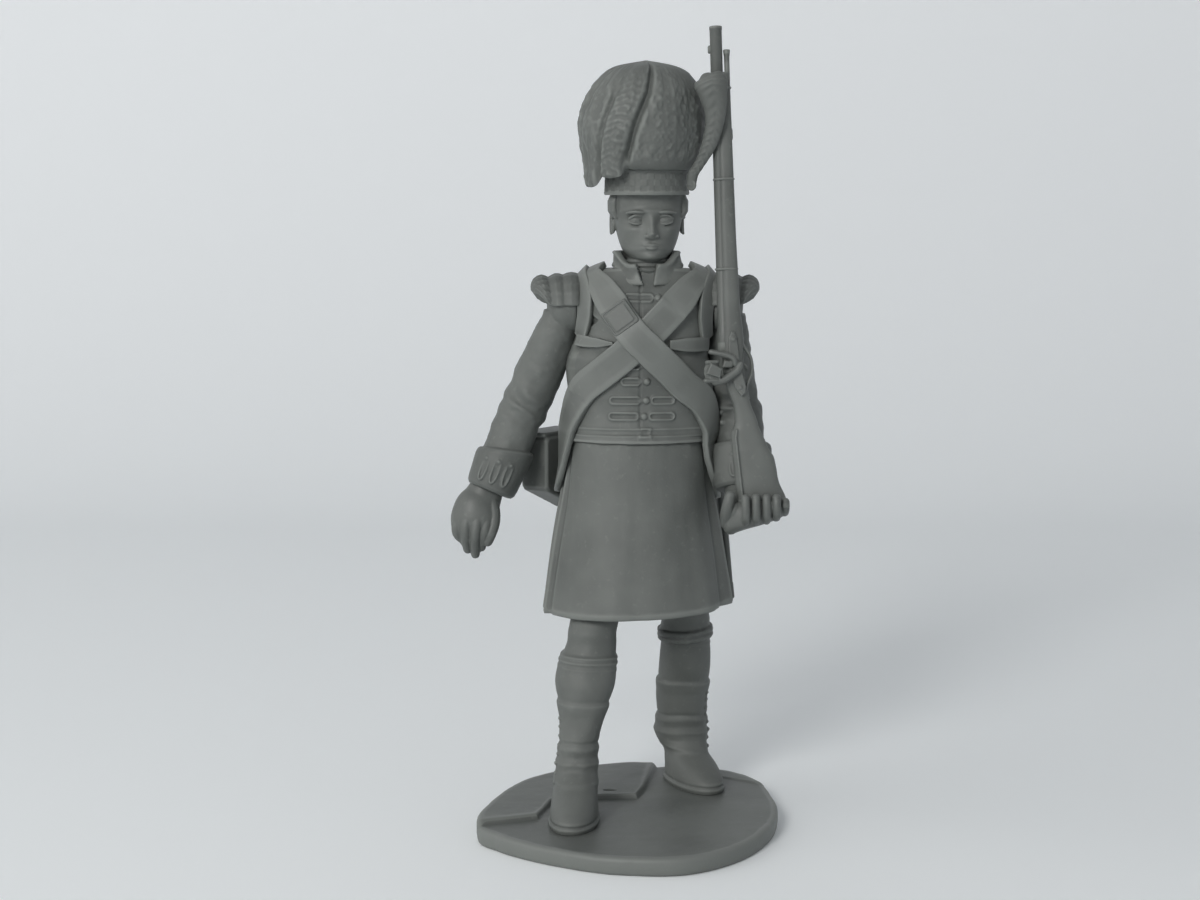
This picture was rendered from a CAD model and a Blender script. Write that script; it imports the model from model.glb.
# %% [markdown]
# A toy soldier about 72 mm tall, moulded in one dark grey plastic: a Highland infantryman at
# shoulder arms on an oval base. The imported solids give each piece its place. Every piece is
# modelled again here in millimetres with its cloth, feathers and lace, and then shrunk to metres.

import bpy
import bmesh
import numpy as np
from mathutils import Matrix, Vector


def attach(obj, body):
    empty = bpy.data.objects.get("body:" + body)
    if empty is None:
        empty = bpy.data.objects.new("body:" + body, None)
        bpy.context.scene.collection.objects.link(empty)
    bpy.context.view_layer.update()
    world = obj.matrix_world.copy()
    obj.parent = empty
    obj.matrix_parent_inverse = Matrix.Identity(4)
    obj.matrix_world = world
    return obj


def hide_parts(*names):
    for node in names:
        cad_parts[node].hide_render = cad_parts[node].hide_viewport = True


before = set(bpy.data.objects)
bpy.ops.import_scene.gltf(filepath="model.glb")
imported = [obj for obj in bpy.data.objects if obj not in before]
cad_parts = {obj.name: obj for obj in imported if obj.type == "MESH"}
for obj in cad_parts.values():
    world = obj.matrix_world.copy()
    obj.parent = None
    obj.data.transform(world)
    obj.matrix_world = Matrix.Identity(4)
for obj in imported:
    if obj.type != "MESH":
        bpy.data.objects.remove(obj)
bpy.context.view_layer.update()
MM = 0.001
FIGURE = "figure"
HEAD = "head_and_bonnet"
ARM = "right_arm_and_hand"

# %% [markdown]
# A sculpted toy is smooth curves through a few measured stations, with soft steps and bumps on
# them. Blender's own curves could carry the stations, but plain functions on arrays are easier to
# change and give all points at once: a spline through keys, a soft step and a soft bump.

# %% Curves and soft steps


def spline(a, b, c, d, f):
    """A smooth way from b to c that heeds the points before and after them."""
    return b + (c - a) * f / 2 + (2 * a - 5 * b + 4 * c - d) * f**2 / 2 + (3 * b - a - 3 * c + d) * f**3 / 2


def along(keys, s):
    """Smooth values through rows of keys, whose first column is the place."""
    keys = np.asarray(keys, float)
    s = np.asarray(s, float)
    last = len(keys) - 1
    i = np.clip(np.searchsorted(keys[:, 0], s, side="right") - 1, 0, last - 1)
    f = ((s - keys[i, 0]) / (keys[i + 1, 0] - keys[i, 0]))[..., None]
    return spline(keys[np.maximum(i - 1, 0)], keys[i], keys[i + 1], keys[np.minimum(i + 2, last)], f)


def step(x, a, b):
    """0 up to a and 1 from b on, with a soft rise between."""
    f = np.clip((np.asarray(x, float) - a) / (b - a), 0, 1)
    return f * f * (3 - 2 * f)


def swell(x):
    return np.exp(-np.square(x))


def bent(v, power):
    return np.sign(v) * np.abs(v) ** power


def mix(a, b, f):
    return a + (b - a) * f


print("soft step:", step([0, 0.25, 0.5, 0.75, 1], 0, 1), "soft bump:", swell([0, 0.5, 1, 2]).round(2))

# %% [markdown]
# Most sections of a figure are level ovals, a little squarer than an ellipse. One function gives a
# ring from its half width and its reach to the front and back. Angles are in degrees all through,
# because stations on a body are easier to read that way.

# %% Angles, points and level rings


def sind(angle):
    return np.sin(np.radians(angle))


def cosd(angle):
    return np.cos(np.radians(angle))


def circle(n):
    """n even angles round a full turn, in radians."""
    return np.linspace(0, 2 * np.pi, n + 1)[:-1]


def unit(v):
    v = np.asarray(v, float)
    return v / np.linalg.norm(v, axis=-1, keepdims=True)


def xyz(x, y, z):
    """Points from three coordinates, which are first spread to one shape."""
    return np.stack(np.broadcast_arrays(x, y, z), -1)


def level(angle, centre, half_w, front, back, power):
    """Level ring: angle 0 is the front, and angles grow towards the figure's left."""
    s, c = sind(angle), cosd(angle)
    x = centre[0] + half_w * bent(s, power)
    y = centre[1] - np.where(c > 0, front, back) * bent(c, power)
    return x, y


print("front of a ring:", level(0, (0, 0), 2, 1, 1, 0.9), "its left:", level(90, (0, 0), 2, 1, 1, 0.9))

# %% [markdown]
# Cloth, feathers and cast ground are never even. A displace modifier with a noise texture could
# roughen them, but a function can be stretched along folds and faded out where a surface stays
# smooth. It blends fixed pseudo-random values on a lattice, so it is the same on every run.

# %% Unevenness
LATTICE_STIR = np.array([374761393, 668265263, 2147483647])
SEED_STIR, SCRAMBLE = 1274126177, 1103515245


def ripple(points, size, seed):
    """Smooth noise between -1 and 1; size is the width of a bump, one number or one per axis."""
    q = np.asarray(points, float) / np.asarray(size, float)
    cell = np.floor(q).astype(np.int64)
    f = q - cell
    f = f * f * (3 - 2 * f)
    total = np.zeros(q.shape[:-1])
    for corner in np.ndindex(2, 2, 2):
        h = ((cell + np.array(corner)) * LATTICE_STIR).sum(-1) + seed * SEED_STIR
        h = (h ^ (h >> 13)) * SCRAMBLE
        value = ((h >> 8) & 0xFFFF) / 32767.5 - 1
        weight = np.prod(np.where(np.array(corner) == 1, f, 1 - f), axis=-1)
        total += value * weight
    return total


print("unevenness at three spots:", ripple([(0.2, 0, 0), (0.7, 0, 0), (1.4, 0, 0)], 1, 1).round(2))

# %% [markdown]
# Each piece starts as a few closed shells: lofted skins, tubes, balls and bevelled plates. Cubes
# with a subdivision surface could give them too, but rings of points follow measured sections
# exactly. Shells may overlap freely, because a fine voxel remesh later fuses them into one surface
# and rounds the inner corners as a real mould does.

# %% Skins


def skin(grid):
    """Closed shell through rings of points; the first and last ring are closed by fans."""
    rows, cols = grid.shape[:2]
    points = grid.reshape(-1, 3)
    ends = np.array([points[:cols].mean(0), points[-cols:].mean(0)])
    i = np.arange(cols)
    k = (i + 1) % cols
    faces = [np.stack([np.full(cols, rows * cols), i, k], -1)]
    for j in range(rows - 1):
        a, b = j * cols, (j + 1) * cols
        faces += [np.stack([a + i, b + i, b + k], -1), np.stack([a + i, b + k, a + k], -1)]
    top = (rows - 1) * cols
    faces.append(np.stack([np.full(cols, rows * cols + 1), top + k, top + i], -1))
    return np.vstack([points, ends]), np.vstack(faces)


def ring_skin(grid):
    """Closed shell through rings that come back to the first one."""
    rows, cols = grid.shape[:2]
    i = np.arange(cols)
    k = (i + 1) % cols
    faces = []
    for j in range(rows):
        a, b = j * cols, (j + 1) % rows * cols
        faces += [np.stack([a + i, b + i, b + k], -1), np.stack([a + i, b + k, a + k], -1)]
    return grid.reshape(-1, 3), np.vstack(faces)


print("a skin of 3 rings of 8 points has", len(skin(np.zeros((3, 8, 3)))[1]), "faces")

# %% Tubes and balls
END_CAP = ((0.8, 0.5), (0.45, 0.85))


def tube(path, radius, closed=False, sides=10, flat=1.0, flat_way=(0, 1, 0)):
    """Round or flattened wire along a path; flat shrinks it along flat_way."""
    path = np.asarray(path, float)
    n = len(path)
    if closed:
        way = unit(np.roll(path, -1, 0) - np.roll(path, 1, 0))
    else:
        way = unit(np.gradient(path, axis=0))
    radius = np.broadcast_to(np.asarray(radius, float), n)
    out = unit(np.asarray(flat_way, float) - (way @ np.asarray(flat_way, float))[:, None] * way + 1e-6)
    side = np.cross(way, out)
    t = 2 * np.pi * np.arange(sides) / sides
    ring = np.cos(t)[None, :, None] * side[:, None] + flat * np.sin(t)[None, :, None] * out[:, None]
    grid = path[:, None] + radius[:, None, None] * ring
    if closed:
        return ring_skin(grid)
    first = [path[0] - way[0] * radius[0] * u + radius[0] * v * ring[0] for u, v in END_CAP]
    last = [path[-1] + way[-1] * radius[-1] * u + radius[-1] * v * ring[-1] for u, v in END_CAP[::-1]]
    return skin(np.concatenate([first, grid, last]))


def ball(centre, radii, rows=14, cols=24):
    a = np.pi * (np.arange(rows) + 0.5) / rows
    t = 2 * np.pi * np.arange(cols) / cols
    grid = xyz(np.sin(a)[:, None] * np.cos(t), np.sin(a)[:, None] * np.sin(t), np.cos(a)[:, None])
    return skin(grid * np.asarray(radii, float) + np.asarray(centre, float))


print("a ball has", len(ball((0, 0, 0), (1, 1, 1))[1]), "faces")

# %% Plates


def plate(outline, thick, bevel, origin, axes):
    """Bevelled plate: its outline lies in the first two axes and it rises along the third."""
    outline = np.asarray(outline, float)
    mid = outline.mean(0)
    away = outline - mid
    inset = mid + away * (1 - bevel / np.linalg.norm(away, axis=1, keepdims=True))
    rows = [(inset, 0), (outline, bevel), (outline, thick - bevel), (inset, thick)]
    grid = np.array([np.column_stack([ring, np.full(len(ring), z)]) for ring, z in rows])
    return skin(grid @ np.asarray(axes, float) + np.asarray(origin, float))


def rounded(w, h, r, steps=5):
    """Outline of a rectangle with round corners, about its middle."""
    corners = []
    for cx, cy, start in ((1, 1, 0), (-1, 1, 90), (-1, -1, 180), (1, -1, 270)):
        a = np.linspace(start, start + 90, steps)
        corners.append(np.column_stack([cx * (w / 2 - r) + r * cosd(a), cy * (h / 2 - r) + r * sind(a)]))
    return np.vstack(corners)


print("a rounded outline has", len(rounded(2, 1, 0.2)), "points")

# %% [markdown]
# The whole toy is one plastic: dark grey with a faint green cast, matt with a soft sheen. A single
# flat colour would look like clay. Real mouldings show slight flow marks, fine tool grain, and
# edges rubbed a little paler. The nodes mix those from noise at three scales and from a stored
# value for how hollow a spot is, because that value stays right from every side.

# %% The grey moulding plastic
PALE_GREY = (0.137, 0.147, 0.139, 1)
DEEP_GREY = (0.098, 0.106, 0.1, 1)
RUBBED_GREY = (0.198, 0.212, 0.2, 1)
FLOW_SCALE, SPECK_SCALE, GRAIN_SCALE = 160, 1920, 3200
GRAIN_DEPTH, SOFT_SHEEN, GLOSS_SPREAD = 0.00004, 0.42, 0.06


def moulded_plastic(name, grain, gloss):
    finish = bpy.data.materials.new(name)
    finish.use_nodes = True
    nodes, links = finish.node_tree.nodes, finish.node_tree.links
    shader = nodes["Principled BSDF"]
    shader.inputs["Specular IOR Level"].default_value = SOFT_SHEEN
    place = nodes.new("ShaderNodeTexCoord")

    def noise(scale, detail):
        texture = nodes.new("ShaderNodeTexNoise")
        texture.inputs["Scale"].default_value = scale
        texture.inputs["Detail"].default_value = detail
        links.new(place.outputs["Object"], texture.inputs["Vector"])
        return texture

    def span(value, low, high, out_low, out_high):
        node = nodes.new("ShaderNodeMapRange")
        limits = (("From Min", low), ("From Max", high), ("To Min", out_low), ("To Max", out_high))
        for socket, number in limits:
            node.inputs[socket].default_value = number
        links.new(value, node.inputs["Value"])
        return node.outputs["Result"]

    def blend(factor, first, second):
        node = nodes.new("ShaderNodeMix")
        node.data_type = "RGBA"
        links.new(factor, node.inputs["Factor"])
        for socket, colour in (("A", first), ("B", second)):
            if isinstance(colour, tuple):
                node.inputs[socket].default_value = colour
            else:
                links.new(colour, node.inputs[socket])
        return node.outputs["Result"]

    flow = noise(FLOW_SCALE, 3)
    speck = noise(SPECK_SCALE, 2)
    hollow = nodes.new("ShaderNodeAttribute")
    hollow.attribute_name = "hollow"
    body = blend(span(flow.outputs["Fac"], 0.35, 0.65, 0.0, 1.0), DEEP_GREY, PALE_GREY)
    body = blend(span(speck.outputs["Fac"], 0.62, 0.8, 0.0, 0.35), body, RUBBED_GREY)
    body = blend(span(hollow.outputs["Fac"], 0.012, 0.06, 0.0, 0.7), body, RUBBED_GREY)
    body = blend(span(hollow.outputs["Fac"], -0.012, -0.08, 0.0, 0.6), body, DEEP_GREY)
    links.new(body, shader.inputs["Base Color"])
    rough = span(flow.outputs["Fac"], 0.3, 0.7, gloss - GLOSS_SPREAD, gloss + GLOSS_SPREAD)
    links.new(rough, shader.inputs["Roughness"])
    bump = nodes.new("ShaderNodeBump")
    bump.inputs["Strength"].default_value = grain
    bump.inputs["Distance"].default_value = GRAIN_DEPTH
    links.new(noise(GRAIN_SCALE, 4).outputs["Fac"], bump.inputs["Height"])
    links.new(bump.outputs["Normal"], shader.inputs["Normal"])
    return finish


cloth_plastic = moulded_plastic("cloth_plastic", 0.5, 0.56)
smooth_plastic = moulded_plastic("smooth_plastic", 0.25, 0.48)
feather_plastic = moulded_plastic("feather_plastic", 0.6, 0.58)
ground_plastic = moulded_plastic("ground_plastic", 0.45, 0.52)
print("plastics:", [m.name for m in bpy.data.materials if "plastic" in m.name])

# %% [markdown]
# Making a piece: the shells go into one mesh, Blender's voxel remesh fuses them, a light smooth
# takes off the voxel steps, and a relief can then move points along their normals. Boolean unions
# could join the shells as well, but they trip over touching faces and leave sharp creases. Skins
# that are one closed surface already keep their own points.

# %% Meshes from points


def joined(shells):
    points, faces, start = [], [], 0
    for p, f in shells:
        points.append(p)
        faces.append(f + start)
        start += len(p)
    return np.vstack(points), np.vstack(faces)


def mesh_of(name, points, faces):
    mesh = bpy.data.meshes.new(name)
    mesh.vertices.add(len(points))
    mesh.vertices.foreach_set("co", np.asarray(points, np.float32).ravel())
    mesh.loops.add(faces.size)
    mesh.loops.foreach_set("vertex_index", faces.astype(np.int32).ravel())
    mesh.polygons.add(len(faces))
    mesh.polygons.foreach_set("loop_start", np.arange(0, faces.size, faces.shape[1], dtype=np.int32))
    mesh.update(calc_edges=True)
    mesh.validate()
    return mesh


print("shells become one mesh of", len(joined([ball((0, 0, 0), (1, 1, 1))] * 2)[0]), "points")

# %% Fusing by voxels, in millimetres
AS_BUILT, COARSE, MEDIUM, PADDED, FINE, FINGER, TINY, CLASP = 0, 0.09, 0.075, 0.07, 0.06, 0.055, 0.05, 0.045


def fused(mesh, voxel, smooth):
    worker = bpy.data.objects.new("worker", mesh)
    bpy.context.scene.collection.objects.link(worker)
    remesh = worker.modifiers.new("fuse", "REMESH")
    remesh.mode = "VOXEL"
    remesh.voxel_size = voxel
    soften = worker.modifiers.new("soften", "SMOOTH")
    soften.factor = 0.5
    soften.iterations = smooth
    seen = worker.evaluated_get(bpy.context.evaluated_depsgraph_get())
    result = bpy.data.meshes.new_from_object(seen)
    bpy.data.objects.remove(worker)
    return result


print("voxels from", CLASP, "to", COARSE, "mm")

# %% [markdown]
# Edges of a moulding are rubbed pale and its hollows stay dark. Cavity shading by the camera would
# slide over the toy, so each point is compared with its smoothed self once, and the difference is
# stored on the mesh for the plastic's nodes to read.

# %% Hollows and edges
HOLLOW_ROUNDS = 10


def numbers(items, field, width, kind):
    out = np.empty(len(items) * width, kind)
    items.foreach_get(field, out)
    return out.reshape(-1, width)


def hollows(mesh):
    """How far each point stands out from its smoothed place, in millimetres."""
    points = numbers(mesh.vertices, "co", 3, np.float32).astype(float)
    normals = numbers(mesh.vertices, "normal", 3, np.float32)
    a, b = numbers(mesh.edges, "vertices", 2, np.int32).T
    n = len(points)
    count = np.maximum(np.bincount(a, minlength=n) + np.bincount(b, minlength=n), 1)
    smooth = points.copy()
    for _ in range(HOLLOW_ROUNDS):
        total = [np.bincount(a, smooth[b, c], n) + np.bincount(b, smooth[a, c], n) for c in range(3)]
        smooth = np.stack(total, -1) / count[:, None]
    return ((points - smooth) * normals).sum(1)


print("hollows are taken over", HOLLOW_ROUNDS, "rounds")

# %% [markdown]
# One function then does the same steps for every piece: join, fuse, relief, hollows and scale. It
# also says which body the piece rides on and which solid it stands for. Doing this by hand for 28
# pieces would be long and easy to get wrong.

# %% One piece


def piece(name, shells, voxel, finish, nodes, body=FIGURE, smooth=2, relief=None):
    points, faces = joined(shells)
    mesh = mesh_of(name, points, faces)
    if voxel:
        mesh = fused(mesh, voxel, smooth)
    else:
        work = bmesh.new()
        work.from_mesh(mesh)
        bmesh.ops.recalc_face_normals(work, faces=work.faces)
        work.to_mesh(mesh)
        work.free()
    if relief:
        points = numbers(mesh.vertices, "co", 3, np.float32).astype(float)
        normals = numbers(mesh.vertices, "normal", 3, np.float32).astype(float)
        points = points + normals * relief(points)[:, None]
        mesh.vertices.foreach_set("co", points.astype(np.float32).ravel())
        mesh.update()
    value = mesh.attributes.new("hollow", "FLOAT", "POINT")
    value.data.foreach_set("value", hollows(mesh).astype(np.float32))
    points = numbers(mesh.vertices, "co", 3, np.float32) * MM
    mesh.vertices.foreach_set("co", points.ravel())
    mesh.shade_smooth()
    mesh.update()
    mesh.name = name
    mesh.materials.clear()
    mesh.materials.append(finish)
    thing = bpy.data.objects.new(name, mesh)
    bpy.context.scene.collection.objects.link(thing)
    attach(thing, body)
    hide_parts(*nodes)
    print(name, len(mesh.polygons), "faces")


print("pieces are made in mm and shrunk by", MM)

# %% [markdown]
# The camera stands about 200 mm away, a little above the waist, and looks down by about 7 degrees.
# A long lens at that distance shows the toy as it stands before the eye. A wide lens close by would
# fill the frame too, but it would stretch the base and the bonnet.

# %% Camera
CAMERA_AT, LOOK_DOWN = (-0.00244, -0.1966, 0.058), 6.74
eye = bpy.data.cameras.new("camera")
eye.lens = 66
eye.sensor_width = 36
eye.clip_start = 0.005
camera = bpy.data.objects.new("camera", eye)
camera.location = CAMERA_AT
camera.rotation_euler = (np.radians(90 - LOOK_DOWN), 0, 0)
bpy.context.scene.collection.objects.link(camera)
bpy.context.scene.camera = camera
print("camera at", tuple(round(v, 4) for v in camera.location))

# %% [markdown]
# The toy stands on pale paper that curves up behind it and grows lighter there. A flat floor and a
# wall would show a line where they meet, so one sheet bends from one into the other. Its tone is
# stored on its points, with a faint glow up the wall in the fourth number.

# %% Paper sheet
PAPER_FLOOR = np.array([0.83, 0.865, 0.875, 0.0])
PAPER_WALL = np.array([0.94, 0.965, 0.985, 0.17])
PAPER_REACH, BEND_AT, BEND_R, TONE_RISE = 1.5, 0.18, 0.25, 0.4
sweep = [(-PAPER_REACH, 0.0), (BEND_AT, 0.0)]
for t in np.linspace(0.1, np.pi / 2, 16):
    sweep.append((BEND_AT + BEND_R * np.sin(t), BEND_R - BEND_R * np.cos(t)))
sweep.append((BEND_AT + BEND_R, PAPER_REACH))
n = len(sweep)
sheet = np.array([[(x, y, z) for y, z in sweep] for x in (-PAPER_REACH, PAPER_REACH)])
quads = np.array([[j, j + 1, n + j + 1, n + j] for j in range(n - 1)])[:, ::-1]
paper_mesh = mesh_of("paper", sheet.reshape(-1, 3), quads)
paper_mesh.shade_smooth()
tone = paper_mesh.attributes.new("tone", "FLOAT_COLOR", "POINT")
shade = mix(PAPER_FLOOR, PAPER_WALL, np.tile(np.linspace(0, 1, n) ** TONE_RISE, 2)[:, None])
tone.data.foreach_set("color", shade.astype(np.float32).ravel())
paper = bpy.data.objects.new("paper", paper_mesh)
bpy.context.scene.collection.objects.link(paper)
print("paper with", len(quads), "strips")

# %% [markdown]
# Paper is white and dull. More lamps would make it paler but would flatten the toy as well. Instead
# the paper glows faintly, and only for rays that show it as it looks: straight from the camera,
# mirrored, or through something clear. The shadow on it stays.

# %% Paper finish


def seen_rays(tree):
    """1 for rays that show a surface as it looks: straight, mirrored or through glass."""
    rays = tree.nodes.new("ShaderNodeLightPath")
    seen = rays.outputs["Is Camera Ray"]
    for other in ("Is Glossy Ray", "Is Transmission Ray"):
        both = tree.nodes.new("ShaderNodeMath")
        tree.links.new(seen, both.inputs[0])
        tree.links.new(rays.outputs[other], both.inputs[1])
        seen = both.outputs[0]
    return seen


white = bpy.data.materials.new("paper_white")
white.use_nodes = True
nodes, links = white.node_tree.nodes, white.node_tree.links
dull = nodes["Principled BSDF"]
dull.inputs["Roughness"].default_value = 0.85
dull.inputs["Emission Color"].default_value = (0.97, 0.99, 1.0, 1)
tint = nodes.new("ShaderNodeAttribute")
tint.attribute_name = "tone"
links.new(tint.outputs["Color"], dull.inputs["Base Color"])
glow = nodes.new("ShaderNodeMath")
glow.operation = "MULTIPLY"
links.new(seen_rays(white.node_tree), glow.inputs[0])
links.new(tint.outputs["Alpha"], glow.inputs[1])
links.new(glow.outputs[0], dull.inputs["Emission Strength"])
paper_mesh.materials.append(white)
print("paper finish with", len(nodes), "nodes")

# %% [markdown]
# A large window on the toy's right and a smaller lamp in front light it, with the room's even light
# all round. One small lamp alone would give a hard black shadow. Two discs of different size give
# a soft one that falls behind the toy to its left.

# %% Lamps and room
LAMP_AIM, LAMP_COLOUR = Vector((0.0, 0.0, 0.035)), (1.0, 0.985, 0.96)
LAMPS = [("window", (-0.47, -0.13, 0.27), 0.7, 0.9), ("front", (-0.19, -0.41, 0.25), 0.15, 1.1)]
ROOM_COLOUR, ROOM_LEVEL, ROOM_SEEN = (0.95, 0.97, 1.0, 1), 0.33, 0.35
for name, place, size, watts in LAMPS:
    light = bpy.data.lights.new(name, "AREA")
    light.shape = "DISK"
    light.size = size
    light.energy = watts
    light.color = LAMP_COLOUR
    lamp = bpy.data.objects.new(name, light)
    lamp.location = place
    lamp.rotation_euler = (LAMP_AIM - lamp.location).to_track_quat("-Z", "Y").to_euler()
    bpy.context.scene.collection.objects.link(lamp)
room = bpy.data.worlds.new("room")
room.use_nodes = True
air = room.node_tree.nodes["Background"]
air.inputs["Color"].default_value = ROOM_COLOUR
brightness = room.node_tree.nodes.new("ShaderNodeMath")
brightness.operation = "MULTIPLY_ADD"
brightness.inputs[1].default_value = ROOM_SEEN
brightness.inputs[2].default_value = ROOM_LEVEL
room.node_tree.links.new(seen_rays(room.node_tree), brightness.inputs[0])
room.node_tree.links.new(brightness.outputs[0], air.inputs["Strength"])
bpy.context.scene.world = room
bpy.context.scene.view_settings.view_transform = "Standard"
print("lamps:", [name for name, *_ in LAMPS])

# %% [markdown]
# The heights and plan places below repeat the solids' named values, so each piece comes out where
# its solid is. They could be read from the solids' boxes, but names are easier to follow. Heights
# run from the table up; the figure faces -Y and its left is towards +X.

# %% The figure's stations
BASE_W, BASE_D, BASE_T, SLAB_H = 27, 31.6, 1.6, 0.5
SOLE_Z, HEM_Z, CEILING_Z, WAIST_Z = 1.6, 19.8, 22.3, 36.3
SHOULDER_Z, SEAM_Z, NECK_Z, CHIN_Z, BAND_Z = 47.5, 51.2, 50.5, 51.55, 57.55
BODY = np.array([0.95, 4.2])
NECK = np.array([1.9, 3.9])
LAY = 0.1


def signed(angle):
    """The same angle between -180 and 180."""
    return (np.asarray(angle, float) + 180) % 360 - 180


print("waist at", WAIST_Z, "mm, chin at", CHIN_Z, "mm")

# %% [markdown]
# The base is a thin uneven oval of cast ground. A raised slab covers its right rear, with a broken
# edge. It could be cut from a disc, but polar rings inside the outline give the top, a rounded rim
# and a flat underside in one skin, and the ground's height is a plain function of the place.

# %% Base of cast ground
BASE_KEYS = [(0, 0.955), (20, 1.015), (40, 1.015), (65, 1.004), (90, 1.028), (108, 1.065), (122, 1.13),
             (138, 1.125), (160, 1.01), (180, 0.955), (200, 0.91), (220, 0.9), (250, 0.9), (270, 0.945),
             (284, 1.03), (292, 1.05), (300, 1.005), (315, 0.95), (330, 0.92), (345, 0.93), (360, 0.955)]
SLAB_EDGE = [(-40, -7), (-13.2, -5.5), (-8, -3.4), (-6.9, 1.6), (-2.4, 3), (1, 3.3), (1.8, 6.4), (3, 14.4),
             (4, 40)]


def base_edge(angle):
    r = along(BASE_KEYS, angle)[..., 1]
    return BASE_W / 2 * sind(angle) * r, -BASE_D / 2 * cosd(angle) * r


def slab_height(x, y):
    """0 on the low ground and 1 on the slab, with a steep broken edge between."""
    nearest = np.full(np.shape(x), 1e9)
    for (ax, ay), (bx, by) in zip(SLAB_EDGE[:-1], SLAB_EDGE[1:]):
        dx, dy = bx - ax, by - ay
        f = np.clip(((x - ax) * dx + (y - ay) * dy) / (dx * dx + dy * dy), 0, 1)
        away = np.hypot(x - ax - f * dx, y - ay - f * dy)
        side = np.sign(dx * (y - ay) - dy * (x - ax))
        nearest = np.where(away < np.abs(nearest), away * side, nearest)
    return step(nearest, -0.12, 0.22)


def ground(x, y):
    p = xyz(x, y, 0)
    pit = 0.3 * step(1 - np.hypot((x + 1.5) / 0.75, (y - 4.6) / 0.4), 0, 0.5)
    far_step = 0.16 * step(y + 0.55 * (x - 9), 10.5, 11.0) * step(x, 3, 5)
    flat = BASE_T + SLAB_H * slab_height(x, y) - pit + far_step
    return flat + 0.05 * ripple(p, 3.2, 3) + 0.02 * ripple(p, 0.9, 4)


UNDERSIDE = [(0.02, 0), (0.5, 0), (0.975, 0), (0.99, 0.08), (0.995, 0.3), (1.0, 0.8)]
RIM = [(1.0, 0.42), (0.998, 0.24), (0.99, 0.1), (0.977, 0.02)]
edge_x, edge_y = base_edge(np.arange(0, 360, 1.0))
rings = [xyz(edge_x * f, edge_y * f, z) for f, z in UNDERSIDE]
for f, drop in RIM + [(f, 0) for f in np.linspace(0.965, 0.01, 130)]:
    x, y = edge_x * f, edge_y * f
    rings.append(xyz(x, y, ground(x, y) - drop))
piece("cast_ground", [skin(np.array(rings))], AS_BUILT, ground_plastic, ["base_plate"])

# %% [markdown]
# The legs step off with bare knees, gartered hose, gaiters and shoes. They could be sculpted by
# hand, but level rings that follow the shin are easier to measure and repeat. Soft steps over the
# height make the garters, the gaiter's top and the rings at the ankle.

# %% Leg stations
SHOE_L, SHOE_W, CALF_W, KNEE_W, KNEE_H = 8.8, 4.4, 5.1, 4.7, 16.8


def leg_keys(foot, knee, hip, toe_out, ankle):
    foot, knee, hip = (np.array(p, float) for p in (foot, knee, hip))
    heel = foot + 0.31 * SHOE_L * np.array([-sind(toe_out), cosd(toe_out)])
    w, l, an, ca, kn = SHOE_W / 2, SHOE_L / 2, ankle / 2, CALF_W / 2, KNEE_W / 2
    over, wide = (-0.12, 0.1) if toe_out < 0 else (0.12, -0.2)
    rows = [(0, foot, w - 0.15, l - 0.15), (0.4, foot, w, l), (1.1, foot, w - 0.05, l - 0.15),
            (2.1, mix(foot, heel, 0.24), w - 0.15, l * 0.82), (3.1, mix(foot, heel, 0.66), w - 0.25, l * 0.6),
            (4.4, heel, an + 0.1, an + 0.35), (7, mix(heel, knee, 0.14), an, an + 0.15),
            (9.4, mix(heel, knee, 0.36), mix(an, ca, 0.5), mix(an, ca, 0.55)),
            (12, mix(heel, knee, 0.6) + (over, 0), ca + wide, ca + 0.1),
            (14.2, mix(heel, knee, 0.8) + (over, 0), ca - 0.15 + wide, ca - 0.1),
            (15.4, mix(heel, knee, 0.9), kn - 0.05, kn), (KNEE_H, knee, kn - 0.1, kn + 0.1),
            (CEILING_Z - SOLE_Z, hip, kn, kn + 0.3)]
    return [(h, p[0], p[1], a, b, toe_out * (1 - float(step(h, 2, 8)))) for h, p, a, b in rows]


print("calf", CALF_W, "mm, knee", KNEE_W, "mm wide")

# %% Leg trim: depth, height and width of each soft ring at the ankle
ANKLE_RINGS = [(-0.1, 6.75, 0.16), (0.08, 6.2, 0.28), (-0.04, 5.5, 0.2), (0.08, 4.9, 0.24), (-0.05, 4.2, 0.2),
               (0.09, 3.4, 0.22)]


def leg_trim(h, angle, top, seed):
    """Garters, the gaiter's top edge, rings at the ankle and the shoe's welt."""
    around = xyz(cosd(angle), sind(angle), h * 0.3)
    sway = h + 0.2 * ripple(around, 0.9, seed) + 0.12 * sind(angle)
    garter = 0.15 * (swell((sway - top) / 0.14) + swell((sway - top + 0.45) / 0.14)
                     + 0.4 * swell((sway - top + 1) / 0.13))
    garter += 0.1 * step(sway, top + 0.2, top - 0.1) * step(sway, 10.5, 12)
    gaiter_top = 0.12 * step(sway, 10.4, 10.1) * step(sway, 8.8, 10.0) - 0.05 * swell((sway - 10.5) / 0.2)
    ankle = sum(depth * swell((sway - at) / wide) for depth, at, wide in ANKLE_RINGS)
    welt = 0.1 * (1 - step(h, 0.45, 0.62)) - 0.1 * swell((h - 0.68) / 0.1)
    knee_cap = 0.2 * swell((h - 17.2) / 1.0) * swell(signed(angle) / 45)
    wrinkles = 0.06 * ripple(around, 0.5, seed + 3) * step(h, 1, 3)
    return garter + gaiter_top + ankle + welt + knee_cap + wrinkles


print("rings at the ankle:", len(ANKLE_RINGS))

# %% [markdown]
# Small shells finish a leg: a row of gaiter buttons, a rolled hose top on the left leg, and the two
# ends of the garter's knot. As separate shells they stand proud crisply, and the remesh then joins
# them to the leg.

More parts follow.
